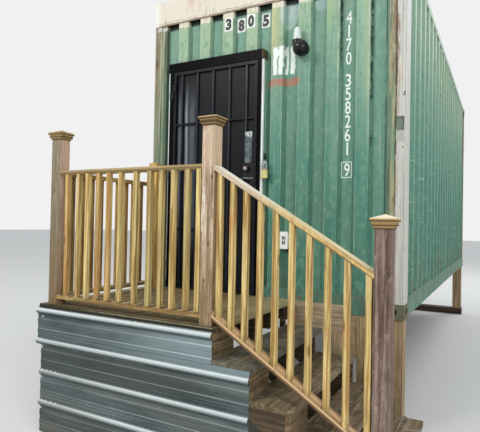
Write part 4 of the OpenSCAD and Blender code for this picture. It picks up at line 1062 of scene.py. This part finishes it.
def screws(name, spots, material, radius, height, sides):
    """Heads with a washer each, at (position, outward direction)."""
    washer = 0.0016
    bm = bmesh.new()
    for place, out in spots:
        turn = Vector(out).normalized().to_track_quat("Z", "Y").to_matrix().to_4x4()
        at = Matrix.Translation(Vector(place)) @ turn
        for n, r1, r2, depth, z in ((12, 1.5, 1.3, washer, washer / 2),
                                    (sides, 1.0, 0.92, height, washer + height / 2)):
            bmesh.ops.create_cone(bm, cap_ends=True, segments=n, depth=depth, radius1=radius * r1,
                                  radius2=radius * r2, matrix=at @ Matrix.Translation((0, 0, z)))
    piece(name, mesh_from(name, bm), material)


INK = figure_paint("digit_black", (22, 22, 24), 0.3)
STENCIL = figure_paint("digit_white", (242, 250, 246), 0.45)
SCREW = metal("screw_zinc", (206, 212, 210), 0.45, 0.5)
NAIL = metal("nail_rusty", (96, 74, 56), 0.6, 0.4)

# the plates stand in turn on a ridge and in a valley of the wall
PLATE_FACES = ((-0.369, -0.0022, 3.412), (-0.258, 0.0434, 3.399), (-0.136, -0.0022, 3.401),
               (-0.009, 0.0434, 3.398))
for i, (text, at) in enumerate(zip("3805", PLATE_FACES)):
    figure("plate_figure_%d" % i, text, at, (0.062, 0.108), INK, thick=0.0005, bold=0.06)

COLUMN_X = 0.747
COLUMN_PITCH = 0.112
COLUMN_GROUPS = (("4170", 3.283), ("358261", 2.767), ("9", 2.036))
column = [(t, z - i * COLUMN_PITCH) for group, z in COLUMN_GROUPS for i, t in enumerate(group)]
for i, (text, z) in enumerate(column):
    size = (0.013 if text == "1" else 0.046, 0.104)
    figure("column_figure_%d" % i, text, (COLUMN_X, VALLEY_Y, z), size, STENCIL, thick=0.0006, bold=0.006)
figure_box("column_figure_box", COLUMN_X - 0.004, column[-1][1], width=0.088, height=0.132, line=0.0065)

# screws on the upper slopes of the ribs, and one on the flat sheet below each rib
RIB_SLOPE = (0, -0.534, 0.845)
RIB_SLOPE_Y = -1.337
SHEET_Y = -1.3295
SCREWS_BY_RIB = ((-1.175, -0.31, -0.25, -0.19), (-1.185, -1.15), (-1.13, -1.085, -1.04, -0.99),
                 (-1.13, -1.09, -1.03, -0.98))
spots = []
for i, xs in enumerate(SCREWS_BY_RIB):
    z = RIB_Z - i * RIB_PITCH
    spots += [((x, RIB_SLOPE_Y, z + 0.0189), RIB_SLOPE) for x in xs]
    spots.append(((-1.145, SHEET_Y, z - 0.04), (0, -1, 0)))
screws("skirt_screws", spots, SCREW, radius=0.0055, height=0.003, sides=6)

# nails, a little sunk, over the joists of the landing and the stringers of the stair
UP = (0, 0, 1)
SUNK = 0.0003
JOISTS_Y = (-1.307, -1.178, -0.806, -0.432, -0.024)
STRINGERS_Y = (-0.161, -0.695, -1.3)
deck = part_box("deck_boards")
pitch = (deck[1][0] - deck[0][0] + DECK_GAP) / DECK_BOARDS
middles = [deck[0][0] + i * pitch + (pitch - DECK_GAP) / 2 for i in range(DECK_BOARDS)]
spots = [((x + dx, y, DECK_Z - SUNK), UP) for x in middles for y in JOISTS_Y for dx in (-0.042, 0.042)]
screws("deck_nails", spots, NAIL, radius=0.0032, height=0.0006, sides=12)
spots = [((FIRST_TREAD_X + i * STEP_GOING + dx, y, DECK_Z - (i + 1) * STEP_RISE - SUNK), UP)
         for i in range(4) for y in STRINGERS_Y for dx in (0.045, 0.105, 0.185, 0.245)]
screws("tread_nails", spots, NAIL, radius=0.0032, height=0.0006, sides=12)


# stage, light, camera
def pale_floor():
    bm = bmesh.new()
    bmesh.ops.create_grid(bm, x_segments=1, y_segments=1, size=60)
    mesh = mesh_from("floor", bm)
    k = Mat("floor_pale")
    k.c = k.tone((224, 224, 222), k.noise(0.6, 2), 0.99, 1.01)
    mesh.materials.append(k.done(0.9, spec=0.1))
    ob = linked("floor", mesh)
    ob.location.z = -0.001


def studio_world():
    """Soft light from above, and an even grey where the camera, gloss or glass looks past the part."""
    world = bpy.data.worlds.new("studio")
    bpy.context.scene.world = world
    world.use_nodes = True
    tree = world.node_tree
    tree.nodes.clear()
    light, seen, blend, rays, place, split, ramp, out = [
        tree.nodes.new("ShaderNode" + kind)
        for kind in ("Background", "Background", "MixShader", "LightPath", "TexCoord", "SeparateXYZ",
                     "ValToRGB", "OutputWorld")]
    below, above = ramp.color_ramp.elements
    below.position, below.color = 0.0, (0.42, 0.43, 0.42, 1)
    above.position, above.color = 0.55, (1.0, 1.03, 1.08, 1)
    light.inputs[1].default_value = 0.74
    seen.inputs[0].default_value = (0.88, 0.88, 0.88, 1)
    seen.inputs[1].default_value = 1.0
    direct = rays.outputs["Is Camera Ray"]
    for ray in ("Is Glossy Ray", "Is Transmission Ray"):
        either = tree.nodes.new("ShaderNodeMath")
        either.operation = "MAXIMUM"
        tree.links.new(direct, either.inputs[0])
        tree.links.new(rays.outputs[ray], either.inputs[1])
        direct = either.outputs[0]
    for start, end in ((place.outputs["Generated"], split.inputs[0]), (split.outputs[2], ramp.inputs[0]),
                       (ramp.outputs[0], light.inputs[0]), (direct, blend.inputs[0]),
                       (light.outputs[0], blend.inputs[1]), (seen.outputs[0], blend.inputs[2]),
                       (blend.outputs[0], out.inputs[0])):
        tree.links.new(start, end)


def area(name, place, target, size, power, tint=(1, 1, 1)):
    lamp = bpy.data.lights.new(name, "AREA")
    lamp.shape = "DISK"
    lamp.size = size
    lamp.energy = power
    lamp.color = tint
    ob = linked(name, lamp)
    ob.location = place
    ob.rotation_mode = "QUATERNION"
    ob.rotation_quaternion = (Vector(target) - Vector(place)).to_track_quat("-Z", "Y")


def photo_camera(place, yaw, pitch, roll, focal_pixels):
    """A camera fitted to the photograph; angles in degrees, yaw to the left from +Y."""
    sensor_width, photo_width = 36.0, 480
    lens = bpy.data.cameras.new("camera")
    lens.sensor_width = sensor_width
    lens.lens = focal_pixels / photo_width * sensor_width
    lens.clip_start, lens.clip_end = 0.05, 200
    ob = linked("camera", lens)
    turn = Matrix.Identity(4)
    for angle, axis in ((yaw, "Z"), (90 + pitch, "X"), (roll, "Z")):
        turn = turn @ Matrix.Rotation(math.radians(angle), 4, axis)
    ob.matrix_world = Matrix.Translation(place) @ turn
    bpy.context.scene.camera = ob


pale_floor()
studio_world()
area("key_soft", (-4.5, -8.5, 8.5), (0, -0.5, 1.8), 4.0, 520, (1.0, 0.98, 0.95))
area("fill_soft", (7.0, -6.0, 5.0), (0.3, -0.5, 1.6), 5.0, 230, (0.95, 0.98, 1.0))
area("back_soft", (4.0, 12.0, 9.0), (0, 5, 2), 5.0, 400)
photo_camera((1.859, -3.784, 1.585), 28.68, 0.85, 1.13, 479.3)
bpy.context.scene.view_settings.view_transform = "Standard"
